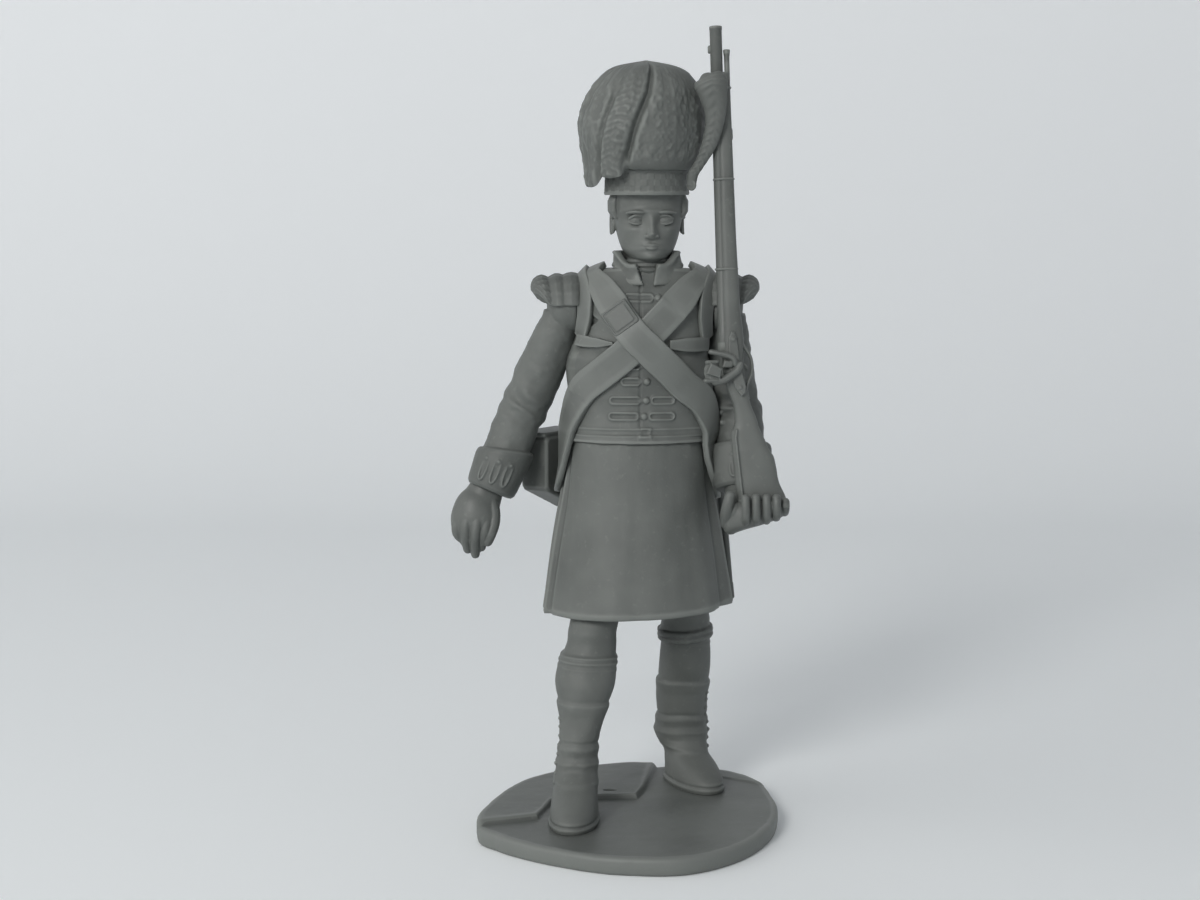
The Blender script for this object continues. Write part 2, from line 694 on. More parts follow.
# %% Legs: foot, knee and hip in plan, toe out in degrees, ankle width, seed
RIGHT_LEG = ((-4.75, -4.2), (-3.05, 1.2), (-2.1, 2.4), -4, 3.6, 11)
LEFT_LEG = ((6.5, 8.6), (5.55, 7.2), (4.4, 5.9), 24, 4.8, 12)
RIGHT_GARTER, LEFT_GARTER = 14.3, 15.15


def leg(foot, knee, hip, toe_out, ankle, seed):
    h = np.linspace(0, CEILING_Z - SOLE_Z, 230)[:, None]
    angle = np.arange(0, 360, 3.0)[None]
    k = along(leg_keys(foot, knee, hip, toe_out, ankle), h[:, 0])[:, None]
    side = 1 if toe_out > 0 else -1
    grow = leg_trim(h + 0 * angle, angle + 0 * h, RIGHT_GARTER if side < 0 else LEFT_GARTER, seed)
    x, y = level(angle, (0, 0), k[..., 3] + grow, k[..., 4] + grow, k[..., 4] + grow, 0.92)
    c, s = cosd(k[..., 5]), sind(k[..., 5])
    grid = xyz(k[..., 1] + x * c - y * s, k[..., 2] + x * s + y * c, SOLE_Z + h)

    def spot(height, where):
        return grid[np.argmin(np.abs(h[:, 0] - height)), int(where % 360 // 3)]

    shells = [skin(grid)]
    shells += [ball(spot(height, 70 * side), (0.2, 0.2, 0.2)) for height in np.arange(3.3, 9.6, 0.8)]
    if side > 0:
        turn_over = [spot(15.3 + 0.25 * sind(a - 40), a) for a in range(0, 360, 9)]
        shells += [tube(np.array(turn_over) + (0.1, 0, z), 0.34, closed=True) for z in (0, -0.45)]
    knot = spot(14.0 if side < 0 else 15.0, 140 * side)
    for lean, drop in ((-0.35, -1.7), (0.3, -1.4)):
        tail = [knot + (0, 0, 0.5), knot + (0.28 * side, lean * 0.6, -0.2), knot + (0.12 * side, lean, drop)]
        shells.append(tube(tail, (0.28, 0.4, 0.36), flat=0.6, flat_way=(1, 0, 0)))
    return shells


piece("right_leg_hose", leg(*RIGHT_LEG), COARSE, cloth_plastic, ["right_leg"])
piece("left_leg_hose", leg(*LEFT_LEG), COARSE, cloth_plastic, ["left_leg"])

# %% [markdown]
# The kilt is a flared cone of heavy cloth. Its apron in front is one plain sheet with an overlapping
# edge, and knife pleats run round the back. A cloth simulation would hang softly, but moulded
# pleats are crisp and even, so they are drawn: each rises slowly and drops sharply, like a saw.

# %% Kilt's cone and pleats
KILT_L, PLEATS = 16.5, 16
KILT_TOP, KILT_HEM = np.array([11.9, 8.4]) / 2, np.array([17.75, 15.2]) / 2
PLEATS_FROM, PLEATS_TO, RISE, DROP = 70, 290, 0.86, 0.14


def pleat(angle):
    f = PLEATS * (angle - PLEATS_FROM) / (PLEATS_TO - PLEATS_FROM)
    saw = f - np.floor(f)
    rise = np.where(saw < RISE, saw / RISE, (1 - saw) / DROP)
    return np.where((angle < PLEATS_FROM) | (angle > PLEATS_TO), 0, rise)


def kilt_point(angle, z, off, depth):
    f = (WAIST_Z - z) / KILT_L
    f = f * (1.2 - 0.2 * f)
    half = KILT_TOP + (KILT_HEM - KILT_TOP) * np.asarray(f)[..., None]
    inset = off - depth * (1 - pleat(angle)) * step(f, 0.05, 0.5)
    x, y = level(angle, BODY, half[..., 0] + inset, half[..., 1] + inset, half[..., 1] + inset, 0.9)
    return xyz(x, y, z)


print("kilt flares from", 2 * KILT_TOP[0], "to", 2 * KILT_HEM[0], "mm")

# %% Kilt's cloth
angle = np.arange(0, 360, 0.75)[None]
height = np.linspace(0, 1, 130)[:, None]
hem = HEM_Z + 0.35 * sind(angle) - 0.1 * cosd(2 * angle)
z = mix(hem, WAIST_Z, height)
cloth = xyz(sind(angle) * 6, cosd(angle) * 6, z * 0.22)
drape = 0.1 * ripple(cloth, 1.5, 21) * (1.1 - height) + 0.03 * ripple(cloth, 0.6, 22)
fall = 0.16 * sind(angle * 9 + 30) * (1 - height) ** 2 * step(np.abs(signed(angle)), 20, 60)
apron = 0.18 * step(np.abs(signed(angle)), 66.5, 64) * (1 - step(height, 0.93, 1))
hem_roll = -0.12 * step(0.02 - height, 0, 0.02)
outside = kilt_point(angle + 0 * z, z, drape + fall + apron + hem_roll, 0.5)
lip = kilt_point(angle[0], hem[0] - 0.02, -0.6, 0.2)
inner = [kilt_point(angle[0], CEILING_Z + 0 * angle[0], -1.2, 0), kilt_point(angle[0], hem[0] + 0.3, -1.2, 0)]
piece("kilt_cloth", [skin(np.concatenate([inner, [lip], outside]))], AS_BUILT, cloth_plastic, ["kilt"])

# %% [markdown]
# The jacket is one skin: up the skirt, round the chest and over the shoulders. Lace and buttons
# could be strips of their own, but on the toy they are low swellings of the same moulding. So the
# columns are close together in front, and a relief function of height and width raises the trim.

# %% Jacket's form
JACKET_L = 14.9
JACKET = np.array([(-7, 7.25, 6.4, 6.8), (-3, 6.65, 5.4, 5.7), (0, 6.5, 4.65, 4.65), (2.5, 6.3, 4.35, 4.25),
                   (5.8, 6.125, 4.56, 4.41), (8.4, 6.05, 4.75, 4.45), (11.2, 6.25, 4.45, 4.35),
                   (12.6, 6.2, 3.75, 3.95), (13.95, 5.6, 2.85, 2.95), (14.9, 3.7, 2.6, 2.6)])
SHOULDER_X, SEAT_X = 1.664, 6.15


def jacket_point(angle, z):
    k = along(JACKET, z - WAIST_Z)
    lean = mix(BODY[0], NECK[0], np.maximum(0, z - WAIST_Z) / JACKET_L)
    x, y = level(angle, (lean, BODY[1]), k[..., 1], k[..., 2], k[..., 3], 0.88)
    right = np.interp(z, [36, 37, 38, 39.5, 41, 42, 43, 44, 45], [0, 0.05, 0.1, 0.25, 0.6, 0.8, 0.75, 0.4, 0])
    left = np.interp(z, [34, 35.2, 36.3, 38, 40, 41.5, 43], [0, 0.1, 0.4, 0.45, 0.55, 0.45, 0])
    x = x - right * step(1 - x, 3.2, 5.8) + left * step(x - 1, 3.4, 6.0)
    return xyz(x, y, z)


print("front of the waist:", jacket_point(np.array([0.0]), np.array([WAIST_Z]))[0].round(2))

# %% Jacket's trim: lace loops by height and ends, buttons by place
LOOPS = [(48.4, -0.2, 2.3), (42.4, 0.2, 1.2), (40.96, -0.5, 1.2), (39.25, -1.5, 1.2), (39.25, 2.2, 4.2),
         (37.81, -1.6, 1.0), (37.81, 2.0, 4.2)]
BUTTONS = [(2.75, 48.4), (1.7, 42.4), (1.75, 40.96), (1.7, 39.25), (1.5, 37.81)]


def jacket_relief(p):
    x, y, z = p.T
    front = step(BODY[1] - y, 1.2, 2.2)
    grow = 0.05 * ripple(p, (1.6, 1.6, 3.0), 31) + 0.02 * ripple(p, 0.7, 32)
    grow += front * 0.1 * step(z, 43, 39) * np.sin(1.5 * x + 1.1 * z) * ripple(p, 2.5, 33)
    pulls = front * 0.14 * np.sin(2.4 * (z - 0.5 * np.abs(x - 1.2)))
    grow += pulls * swell((z - 44.2) / 1.6) * step(np.abs(x - 1.2), 2, 4)
    grow -= front * 0.11 * swell((x - 1.15) / 0.1) * step(z, 36, 36.6)
    grow -= front * 0.3 * step(1 - np.abs(x + 3.3) / 0.8 - np.abs(z - 46.4) / 0.7, 0, 0.5)
    for height, first, last in LOOPS:
        away = np.hypot(x - np.clip(x, first + 0.3, last - 0.3), z - height)
        grow += front * (0.17 * swell((away - 0.31) / 0.13) - 0.04 * swell(away / 0.12))
    for bx, bz in BUTTONS:
        grow += front * 0.3 * np.sqrt(np.clip(1 - np.square(np.hypot(x - bx, z - bz) / 0.34), 0, 1))
    lines = swell((z - 36.65) / 0.12) + swell((z - 36.0) / 0.12)
    hem_line = 0.1 * lines * step(np.hypot(x - BODY[0], y - BODY[1]), 4, 4.3)
    buckle = front * 0.11 * swell((np.maximum(np.abs(x - 1.6) / 0.5, np.abs(z - 36.3) / 0.45) - 0.9) / 0.3)
    return grow + hem_line + buckle


print("loops:", len(LOOPS), "buttons:", len(BUTTONS))

# %% Jacket's skin
columns = np.concatenate([np.arange(-60, 60, 0.6), np.arange(60, 300, 2.4)]) % 360
columns.sort()
skirt = WAIST_Z - mix(0.9, 4.2, step(np.abs(columns - 180), 48, 40))
rows = [kilt_point(columns, WAIST_Z + 0 * columns, LAY, 0), kilt_point(columns, skirt, LAY, 0)]
for f in np.linspace(0, 1, 16):
    drop = mix(skirt, WAIST_Z, f)
    rows.append(mix(kilt_point(columns, drop, LAY + 0.5, 0), jacket_point(columns, drop), step(f, 0.3, 1)))
rows += [jacket_point(columns, WAIST_Z + h + 0 * columns) for h in np.linspace(0.07, JACKET_L - 0.3, 205)]
for r, z in ((2.9, SEAM_Z - 0.2), (2.5, SEAM_Z - 0.5), (2.2, NECK_Z - 1.2)):
    rows.append(xyz(*level(columns, NECK, r, r, r, 1), z))
grid = np.array(rows)
seat = np.hypot(grid[..., 1] - BODY[1], grid[..., 2] - SHOULDER_Z) < 2.6
grid[..., 0] = np.where(seat, SHOULDER_X + np.clip(grid[..., 0] - SHOULDER_X, -SEAT_X, SEAT_X), grid[..., 0])
shells = [skin(grid)]
print("jacket skin", grid.shape)

# %% [markdown]
# The stand collar is a strip round the neck, open in front in a narrow V. A sheet with a solidify
# modifier could make it, but with square edges. Here each ring is the strip's rounded section at
# one angle, and the front edges slant because the section's top starts later.

# %% Stand collar
COLLAR_W, COLLAR_H, COLLAR_T = 6.2, 1.3, 0.5
COLLAR_SECTION = [(0, 0.12), (0.12, 0.16), (0.3, 0.05), (0.8, 0.04), (0.9, 0.14), (0.98, 0.12), (1.03, 0.0),
                  (1.03, -COLLAR_T + 0.1), (0.97, -COLLAR_T), (0.4, -COLLAR_T), (0, -COLLAR_T)]
collar = []
for f in np.linspace(0, 1, 90):
    section = []
    for up, out in COLLAR_SECTION:
        a = mix(8 + 12 * up, 352 - 12 * up, f)
        fall = 1 - float(step(min(a, 360 - a), 30, 80))
        r = COLLAR_W / 2 + out - 0.15 * up
        x, y = level(a, (NECK[0] - 0.12 * up, NECK[1]), r, r + 0.1, r, 1)
        section.append((x, y, SEAM_Z + mix(-1.6 * fall - 0.1, COLLAR_H - 1.15 * fall, up)))
    collar.append(section)
shells.append(skin(np.array(collar)))
piece("jacket", shells, AS_BUILT, cloth_plastic, ["torso"], relief=jacket_relief)

# %% [markdown]
# The face is a plain one by the drawing-book thirds: chin to nose, nose to brow and brow to
# hairline are equal, and the eyes lie one eye apart. Sculpting by brush could make it, but soft
# bumps on a lofted skin are easy to keep even on both sides.

# %% Face relief
HEAD_W, HEAD_D, HEAD_TURN = 6.5, 6.7, 5
HEAD_KEYS = np.array([(0, 0.15, 0.33, -0.04), (0.35, 0.265, 0.42, 0.1), (1.1, 0.36, 0.46, 0.28),
                      (2.2, 0.42, 0.46, 0.42), (3.4, 0.46, 0.455, 0.48), (4.4, 0.485, 0.455, 0.5),
                      (5.2, 0.495, 0.465, 0.5), (6.5, 0.49, 0.46, 0.49)]) * (1, HEAD_W, HEAD_D, HEAD_D)


def face_relief(x, h, front):
    w = np.abs(x)
    brow = 0.24 * swell(x / 2.3) * swell((h - 4.55) / 0.3)
    sockets = -0.46 * swell((w - 1.3) / 0.72) * swell((h - 3.75) / 0.46)
    cheeks = 0.2 * swell((w - 1.8) / 0.7) * swell((h - 2.95) / 0.5)
    cheeks -= 0.14 * swell((w - 1.9) / 0.6) * swell((h - 1.6) / 0.5)
    mouth = 0.22 * swell(x / 1.05) * swell((h - 1.5) / 0.55)
    mouth -= 0.12 * swell(x / 0.7) * swell((h - 0.98) / 0.16)
    mouth -= 0.14 * swell(x / 0.85) * swell((h - 1.43) / 0.08)
    chin = 0.3 * swell(x / 0.75) * swell((h - 0.45) / 0.42) - 0.06 * swell(x / 0.16) * swell((h - 1.9) / 0.2)
    ridge = np.interp(h, [1.95, 2.2, 2.55, 3.3, 4.0, 4.5], [0, 0.55, 0.98, 0.62, 0.36, 0])
    nose = ridge * swell(x / np.interp(h, [2.2, 2.6, 3.3, 4.5], [0.5, 0.42, 0.34, 0.42]))
    return (brow + sockets + cheeks + mouth + chin + nose) * front


print("head", HEAD_W, "mm wide,", HEAD_D, "mm deep")

# %% [markdown]
# Eyeballs, lids, brows, nostrils, ears and lips are small shells set into the skin. Drawn as relief
# they would blur together at this size. As shells they keep their edges, and the remesh fuses
# them with the face.

# %% Face
EYE_X, EYE_H = 1.28, 3.75


def face_shells():
    a = np.concatenate([np.arange(-80, 80, 1.6), np.arange(80, 280, 4.0)])[None]
    h = np.linspace(0, 6.5, 150)[:, None]
    k = along(HEAD_KEYS, h[:, 0])[:, None]
    s, c = sind(a), cosd(a)
    out = face_relief(k[..., 1] * s, h + 0 * a, step(c, 0.0, 0.45) + 0 * h)
    x, y = level(a, (0, 0), k[..., 1], k[..., 2], k[..., 3], 0.95)
    shells = [skin(xyz(x + 0.25 * out * s, y - out, h))]
    t = np.linspace(-1, 1, 15)
    for side in (-1, 1):
        shells.append(ball((side * EYE_X, -2.38, EYE_H), (0.6, 0.48, 0.4)))
        for lift, rise, thick in ((0.16, 0.3, 0.13), (-0.12, -0.2, 0.1)):
            lid = xyz(side * EYE_X + 0.66 * t, -2.86 + 0.34 * t * t, EYE_H + lift + rise * (1 - t * t))
            shells.append(tube(lid, thick))
        brow = xyz(side * (1.35 + 0.85 * t), -3.12 + 0.18 * t + 0.3 * t * t, 4.42 + 0.1 * (1 - t * t))
        shells.append(tube(brow, 0.17 - 0.05 * t * t))
        shells.append(ball((side * 0.42, -3.3, 2.36), (0.26, 0.34, 0.22)))
        shells.append(ball((side * 3.12, 0.35, 3.35), (0.22, 0.5, 0.85)))
        u = np.linspace(-0.9, 2.9, 16)
        shells.append(tube(xyz(side * 3.3, 0.35 + 0.55 * np.sin(u), 3.4 + 0.9 * np.cos(u)), 0.13))
    upper = xyz(0.82 * t, -3.36 + 0.46 * t * t, 1.58 - 0.1 * t * t - 0.04 * swell(t / 0.12))
    lower = xyz(0.7 * t, -3.34 + 0.46 * t * t, 1.27 + 0.12 * t * t)
    return shells + [tube(upper, 0.13 - 0.06 * t * t), tube(lower, 0.15 - 0.08 * t * t)]


print("face from", len(face_shells()), "shells")

# %% [markdown]
# The neck is wrapped in three turns of cloth, and short hair shows below the bonnet's band. Hair
# particles would be far too fine for a moulding, so each lock is a thin tube down the head, cut
# higher beside the ears.

# %% Neck, hair and head


def neck_and_hair():
    foot = NECK_Z - 1.05 - CHIN_Z
    shells = [tube([(0, 0, foot), (0, 0.05, 0.3), (0, 0.1, 2.6)], (1.95, 1.9, 1.95), sides=40)]
    around = circle(48)
    for height in (-0.75, -0.35, 0.05):
        wrap = xyz(2.0 * np.sin(around), -2.0 * np.cos(around), height + 0.06 * np.cos(2 * around))
        shells.append(tube(wrap, 0.2, closed=True))
    for t in np.radians(np.arange(70, 292, 4.5)):
        at_side = float(step(abs(np.sin(t)), 0.62, 0.8))
        low = mix(1.3, 3.75, at_side) + 0.1 * np.sin(7 * t)
        full = mix(0.0, 0.3, at_side)
        rows = ((6.3, 3.0), (5.4, 3.1 + full), (4.6, 3.08 + full),
                (mix(low, 4.6, 0.45), 2.95 + 0.6 * full), (low, 2.6))
        lock = [(r * np.sin(t), -(r + 0.08) * np.cos(t), z) for z, r in rows]
        shells.append(tube(lock, (0.26, 0.29, 0.28, 0.24, 0.14), sides=8))
    return shells


c, s = cosd(HEAD_TURN), sind(HEAD_TURN)
head_turn = np.array([[c, s, 0], [-s, c, 0], [0, 0, 1]])
shells = [(p @ head_turn + (*NECK, CHIN_Z), f) for p, f in face_shells() + neck_and_hair()]
piece("bare_head", shells, FINE, smooth_plastic, ["head"], body=HEAD)

# %% [markdown]
# The feather bonnet rises from a low diced band, swells and closes over the crown. Foxtails hang
# down its right side. A deep slanting groove parts the first one from the dome, and a second one
# parts it from the tails behind. Each place is described by how many tails it is from the groove.

# %% Where the foxtails lie
GROOVE_RISE = [0.1, 0.23, 0.52, 0.74, 1]
BONNET_H, BAND_H, TAILS = 12.0, 2.3, 3
BONNET_C = np.array([1.35, 3.6])
CROWN_X, TAIL_WIDE = 0.35, 33


def main_groove(f):
    return np.interp(f, GROOVE_RISE, [-19, -17, -6, 3.6, 8])


def side_groove(f):
    return np.interp(f, GROOVE_RISE, [-51, -48, -38, -29, -22])


def tail_place(angle, f):
    a, g, b = signed(angle), main_groove(f), side_groove(f)
    return np.where(a > b, (g - a) / (g - b), 1 + (b - a) / TAIL_WIDE)


def tail_mask(p):
    return step(p, -0.05, 0.15) - step(p, TAILS - 0.15, TAILS + 0.05)


print("main groove from", main_groove(0.1), "to", main_groove(1), "degrees")

# %% [markdown]
# Hair or particles could make the feathers, but on a moulding they are only a texture in one
# surface. So the bonnet is a skin whose columns follow their own profiles, because the tails hang
# lower than the dome, with herringbone barbs on the first tail and finer unevenness elsewhere.

# %% Bonnet


def bonnet_column(angle, s):
    p = tail_place(angle, 0.1)
    m = float(tail_mask(p) * (0.78 + 0.22 * np.abs(np.sin(np.pi * p)) ** 0.6))
    drop = float(mix(-0.4, 0.4, step(p, 0.85, 1.2)) * step(p, -0.2, 0.2) * step(TAILS - p, 0, 0.6))
    b, h = BAND_H, BONNET_H
    keys = [(0, 1, 0, 0), (1, 1, 0, b), (2, 0.8, 0.24, mix(b - 0.05, b - 0.4, m) - 0.6 * drop),
            (3, 0.3, mix(0.7, 0.66, m), mix(b + 0.8, b - 1.2, m) - drop),
            (4, 0, mix(0.96, 0.93, m), mix(b + 1.9, b + 0.4, m) - 0.7 * drop),
            (5, 0, 1, h * 0.485), (6, 0, 0.93, h * 0.7), (7, 0, 0.76, h * 0.855), (8, 0, 0.5, h * 0.95),
            (9, 0, 0.02, h)]
    k = along(keys, s)
    f = k[:, 3] / h
    p = tail_place(angle, f)
    body = step(s, 2.4, 3.4) * step(9 - s, 0.1, 1.2)
    first = (step(p, 0, 0.2) - step(p, 0.85, 1)) * body
    strands = (step(p, 1, 1.2) - step(p, TAILS - 0.2, TAILS)) * body
    width = np.abs(p - 0.5)
    around = xyz(5 * sind(angle), 5 * cosd(angle), k[:, 3])
    grow = -0.6 * body * swell((signed(angle) - main_groove(f)) / 3.2)
    grow -= 0.34 * body * swell((signed(angle) - side_groove(f)) / 3.5) * step(f, 0.95, 0.6)
    herringbone = np.sin(2 * np.pi * (1.7 * k[:, 3] + 2.0 * width)) * (0.6 + 0.4 * ripple(around, 0.9, 44))
    grow += first * (0.24 * np.sin(np.pi * np.clip(p, 0, 1)) + 0.035 * herringbone * step(f, 0.95, 0.7))
    grow += strands * 0.11 * ripple(around, (0.5, 0.5, 3.5), 43)
    grow -= 0.2 * strands * swell((p - 2) / 0.1)
    feathers = 0.1 * ripple(around, (1.1, 1.1, 1.6), 41) + 0.07 * ripple(around, (0.42, 0.42, 0.7), 42)
    grow += (1 - 0.6 * first) * body * feathers
    grow += body * 0.05 * ripple(around, (0.22, 0.22, 0.34), 45)
    dice = np.sign(np.sin(np.radians(angle) * 22) * np.sin(np.pi * (k[:, 3] - 0.3) / 0.55))
    band = (1 - step(s, 1, 1.3)) * step(s, 0.05, 0.12)
    squares = 0.02 * dice * step(k[:, 3], 0.3, 0.35) * step(2.1 - k[:, 3], 0, 0.05)
    grow += band * (squares + 0.07 * (swell((k[:, 3] - 0.16) / 0.12) + swell((k[:, 3] - 2.15) / 0.12)))
    c = mix(NECK - (0.12, 0), BONNET_C, step(s, 1, 3)[:, None])
    rx, ry = k[:, 1] * 3.82 + k[:, 2] * 5.75 + grow, k[:, 1] * 4.15 + k[:, 2] * 5.6 + grow
    x, y = level(angle, (c[:, 0] + CROWN_X * step(s, 5, 8), c[:, 1]), rx, ry, ry, 0.97)
    return xyz(x, y, BAND_Z + k[:, 3])


places = np.concatenate([np.linspace(0, 1, 26), np.linspace(1.05, 8.98, 190)])
grid = np.stack([bonnet_column(a, places) for a in np.arange(0, 360, 0.9)], 1)
piece("feather_bonnet", [skin(grid)], AS_BUILT, feather_plastic, ["bonnet"], body=HEAD)

# %% [markdown]
# The plume lies against the bonnet: thin at its foot, where two small rings make a rosette, and
# broad at the top. A bevelled curve could make it, but its barbs have to follow its bend. So it is
# a limb, which is a row of rings square to a curved spine, with the barbs as a soft relief.

# %% Limbs


def limb(keys, places, n, grow=None):
    """Rings square to a spine of keys: place, x, y, z, side radius, front radius."""
    keys = np.asarray(keys, float)
    k = along(keys, places)
    ahead = along(keys, np.minimum(places + 0.02, keys[-1, 0]))
    behind = along(keys, np.maximum(places - 0.02, keys[0, 0]))
    way = unit(ahead[:, 1:4] - behind[:, 1:4])
    side = unit(np.cross((0, 1, 0), way))
    front = np.cross(way, side)
    t = np.arange(n) * 360.0 / n
    g = 0 if grow is None else grow(places[:, None] + 0 * t, t[None] + 0 * places[:, None])
    ring = ((k[:, 4, None] + g) * cosd(t))[..., None] * side[:, None]
    ring = ring + ((k[:, 5, None] + g) * sind(t))[..., None] * front[:, None]
    return k[:, None, 1:4] + ring


print("a limb's ring lies square to its spine")

# %% Plume: place and half width from foot to top
PLUME = [(5.7, 1.1, 58.4, 0.42), (5.85, 1.0, 59.4, 0.48), (6.15, 0.9, 59.9, 0.46), (6.68, 0.7, 60.8, 0.52),
         (7.15, 0.5, 61.8, 0.66), (7.45, 0.35, 62.7, 0.74), (7.68, 0.2, 63.8, 0.82),
         (7.75, 0.1, 65.0, 0.98), (7.55, 0.0, 66.4, 1.28), (7.36, 0.0, 67.3, 1.5), (7.22, 0.0, 67.85, 1.3),
         (7.1, 0.0, 68.15, 0.7), (7.08, 0.0, 68.3, 0.1)]
plume_keys = [(i, x, y, z, r, 0.66 * r) for i, (x, y, z, r) in enumerate(PLUME)]


def barbs(s, t):
    lean = np.abs(((t + 90) % 180) - 90) / 90
    soft = 0.025 * np.sin(2 * np.pi * (1.5 * s - 1.2 * lean)) * (0.4 + lean)
    return step(s, 0.5, 2) * step(12 - s, 0, 1.5) * (soft - 0.03 * swell((lean - 1) / 0.12))


ROSETTE_AT = np.array([5.72, 1.1, 58.45])
plume_shells = [skin(limb(plume_keys, np.linspace(0, 12, 170), 72, barbs))]
t = circle(24)
for r in (0.36, 0.18):
    ring = xyz(0.75 * r * np.sin(t), -0.5 * r * np.sin(t) - 0.1, r * np.cos(t))
    plume_shells.append(tube(ROSETTE_AT + ring, 0.17, closed=True))
piece("plume", plume_shells, FINE, feather_plastic, ["hackle"], body=HEAD, smooth=1)

# %% [markdown]
# The sleeves are limbs with cloth creases. Creases gather at the elbow, so their depth follows the
# place along the spine. A cloth simulation could fold them, but it would fold them anywhere, and
# these have to stay where the arm bends.

# %% Sleeve spines and creases
SLEEVE_R, SLEEVE_HEAD_R = 2.1, 2.4
RIGHT_JOINT = np.array([SHOULDER_X - SEAT_X - LAY, BODY[1], SHOULDER_Z])
LEFT_JOINT = np.array([SHOULDER_X + SEAT_X + LAY, BODY[1], SHOULDER_Z])
RIGHT_ARM = [(0, -1.55, 0, -0.6, 0.66), (1, -1.95, 0.1, -2.4, 0.9), (2, -2.62, 0.3, -4.3, 0.99),
             (3, -3.47, 0.5, -6.3, 1.04), (4, -4.57, 0.65, -8.7, 1.03), (5, -5.4, 0.5, -10.6, 1),
             (6, -6.45, 0.2, -13.2, 1), (7, -8, -0.4, -17, 0.9)]
LEFT_ARM = [(0, 1.5, 0, -0.6, 0.66), (1, 1.38, 0.1, -2.4, 0.86), (2, 1.5, 0.3, -4.3, 0.93),
            (3, 1.72, 0.5, -6.3, 0.98), (4, 2.12, 0.5, -8.7, 1), (5, 2.5, 0.1, -10.6, 1.02),
            (6, 2.45, -0.6, -13.1, 1.04), (7, 2.6, -1.9, -16.6, 0.9)]


def spine(joint, rows):
    return np.array([(s, *(joint + (x, y, z)), SLEEVE_R * r, SLEEVE_R * r + 0.05) for s, x, y, z, r in rows])


def creases(seed):
    def grow(s, t):
        around = xyz(cosd(t) * 2, sind(t) * 2, s * 2.4)
        elbow = swell((s - 4.1) / 1.1)
        wave = np.sin(2 * np.pi * (1.25 * s + 0.5 * sind(t + 40)))
        wave = wave * (0.35 + 0.65 * cosd(t + 60) ** 2)
        seam = -0.07 * swell(signed(t - 60) / 5)
        soft = 0.11 * ripple(around, (1.3, 1.3, 1.1), seed) + 0.04 * ripple(around, 0.5, seed + 1)
        return 0.13 * elbow * wave + soft + seam
    return grow


right_keys, left_keys = spine(RIGHT_JOINT, RIGHT_ARM), spine(LEFT_JOINT, LEFT_ARM)
print("wrists at", right_keys[7, 1:4].round(1), left_keys[7, 1:4].round(1))

# %% [markdown]
# The deep cuffs bulge a little and carry upright lace loops, each with a button. A short tube would
# give a cuff too, but rings that follow the arm can rise on one side, as the right cuff's edge does.

# %% Cuffs: height and radius of each ring
CUFF = [(0.05, 0.6), (0, 1.7), (0.08, 2.08), (0.35, 2.28), (0.9, 2.38), (1.8, 2.44), (2.8, 2.52), (3.6, 2.56),
        (3.95, 2.5), (4.1, 2.35), (4.12, 2.2), (4.0, 1.7)]


def cuff_shells(keys, facing, slant, broad=1.0):
    end, above = along(keys, 7.0)[1:4], along(keys, 6.0)[1:4]
    way = unit(above - end)
    side = unit(np.cross((0, 1, 0), way))
    front = np.cross(way, side)
    t = np.radians(np.arange(0, 360, 5.0))
    rows = []
    for z, r in CUFF:
        up = z + slant * r * np.cos(t) * step(z, 1, 4)
        out = broad * np.cos(t)[:, None] * side + np.sin(t)[:, None] * front
        rows.append(end + up[:, None] * way + r * out)
    shells = [skin(np.array(rows))]
    for place in facing:
        out = cosd(place) * side + sind(place) * front
        across = np.cross(way, out)
        middle = end + way * (2.0 + 0.6 * slant * cosd(place)) + out * 2.44
        a = circle(32)
        loop = middle + across * (0.3 * np.sin(a))[:, None] + way * (1.25 * bent(np.cos(a), 0.7))[:, None]
        shells.append(tube(loop, 0.11, closed=True, sides=8))
        shells.append(ball(middle + way * 0.8, (0.22, 0.22, 0.22)))
    return shells


print("a cuff has", len(CUFF), "rings")

# %% Sleeves


def sleeve_head(joint, side):
    t = np.radians(np.arange(0, 360, 6.0))
    profile = [(-0.05, SLEEVE_HEAD_R - 0.15), (0.05, SLEEVE_HEAD_R - 0.06), (0.3, SLEEVE_HEAD_R)]
    profile += [(0.7 + 2 * np.sin(a), SLEEVE_HEAD_R * np.cos(a)) for a in np.linspace(0, 1.5, 14)]
    rows = [joint + xyz(side * u, r * np.cos(t), r * np.sin(t)) for u, r in profile]
    return skin(np.array(rows))


sleeve_rows = np.linspace(0, 6.5, 170)
shells = [skin(limb(right_keys, sleeve_rows, 90, creases(51))), sleeve_head(RIGHT_JOINT, -1)]
shells += cuff_shells(right_keys, (238, 265, 292), 0.25)
piece("right_sleeve", shells, MEDIUM, cloth_plastic, ["right_arm"], body=ARM)
left_grid = limb(left_keys, sleeve_rows, 90, creases(55))
shells = [skin(left_grid), sleeve_head(LEFT_JOINT, 1)] + cuff_shells(left_keys, (250, 285, 320), 0, 1.14)
for place in (4.43, 5.12):
    spot = left_grid[np.argmin(np.abs(sleeve_rows - place)), 80]
    shells.append(ball(spot, (0.27, 0.27, 0.27)))
piece("left_sleeve", shells, MEDIUM, cloth_plastic, ["left_arm"])

# %% [markdown]
# A wing is a padded crescent on the shoulder. Two soft ribs run round it, and a fat roll of wool
# closes its outer edge. Three bent tubes would leave gaps between them, so one closed section is
# swept over the shoulder from front to back. The roll is short in front, with a rounded corner.

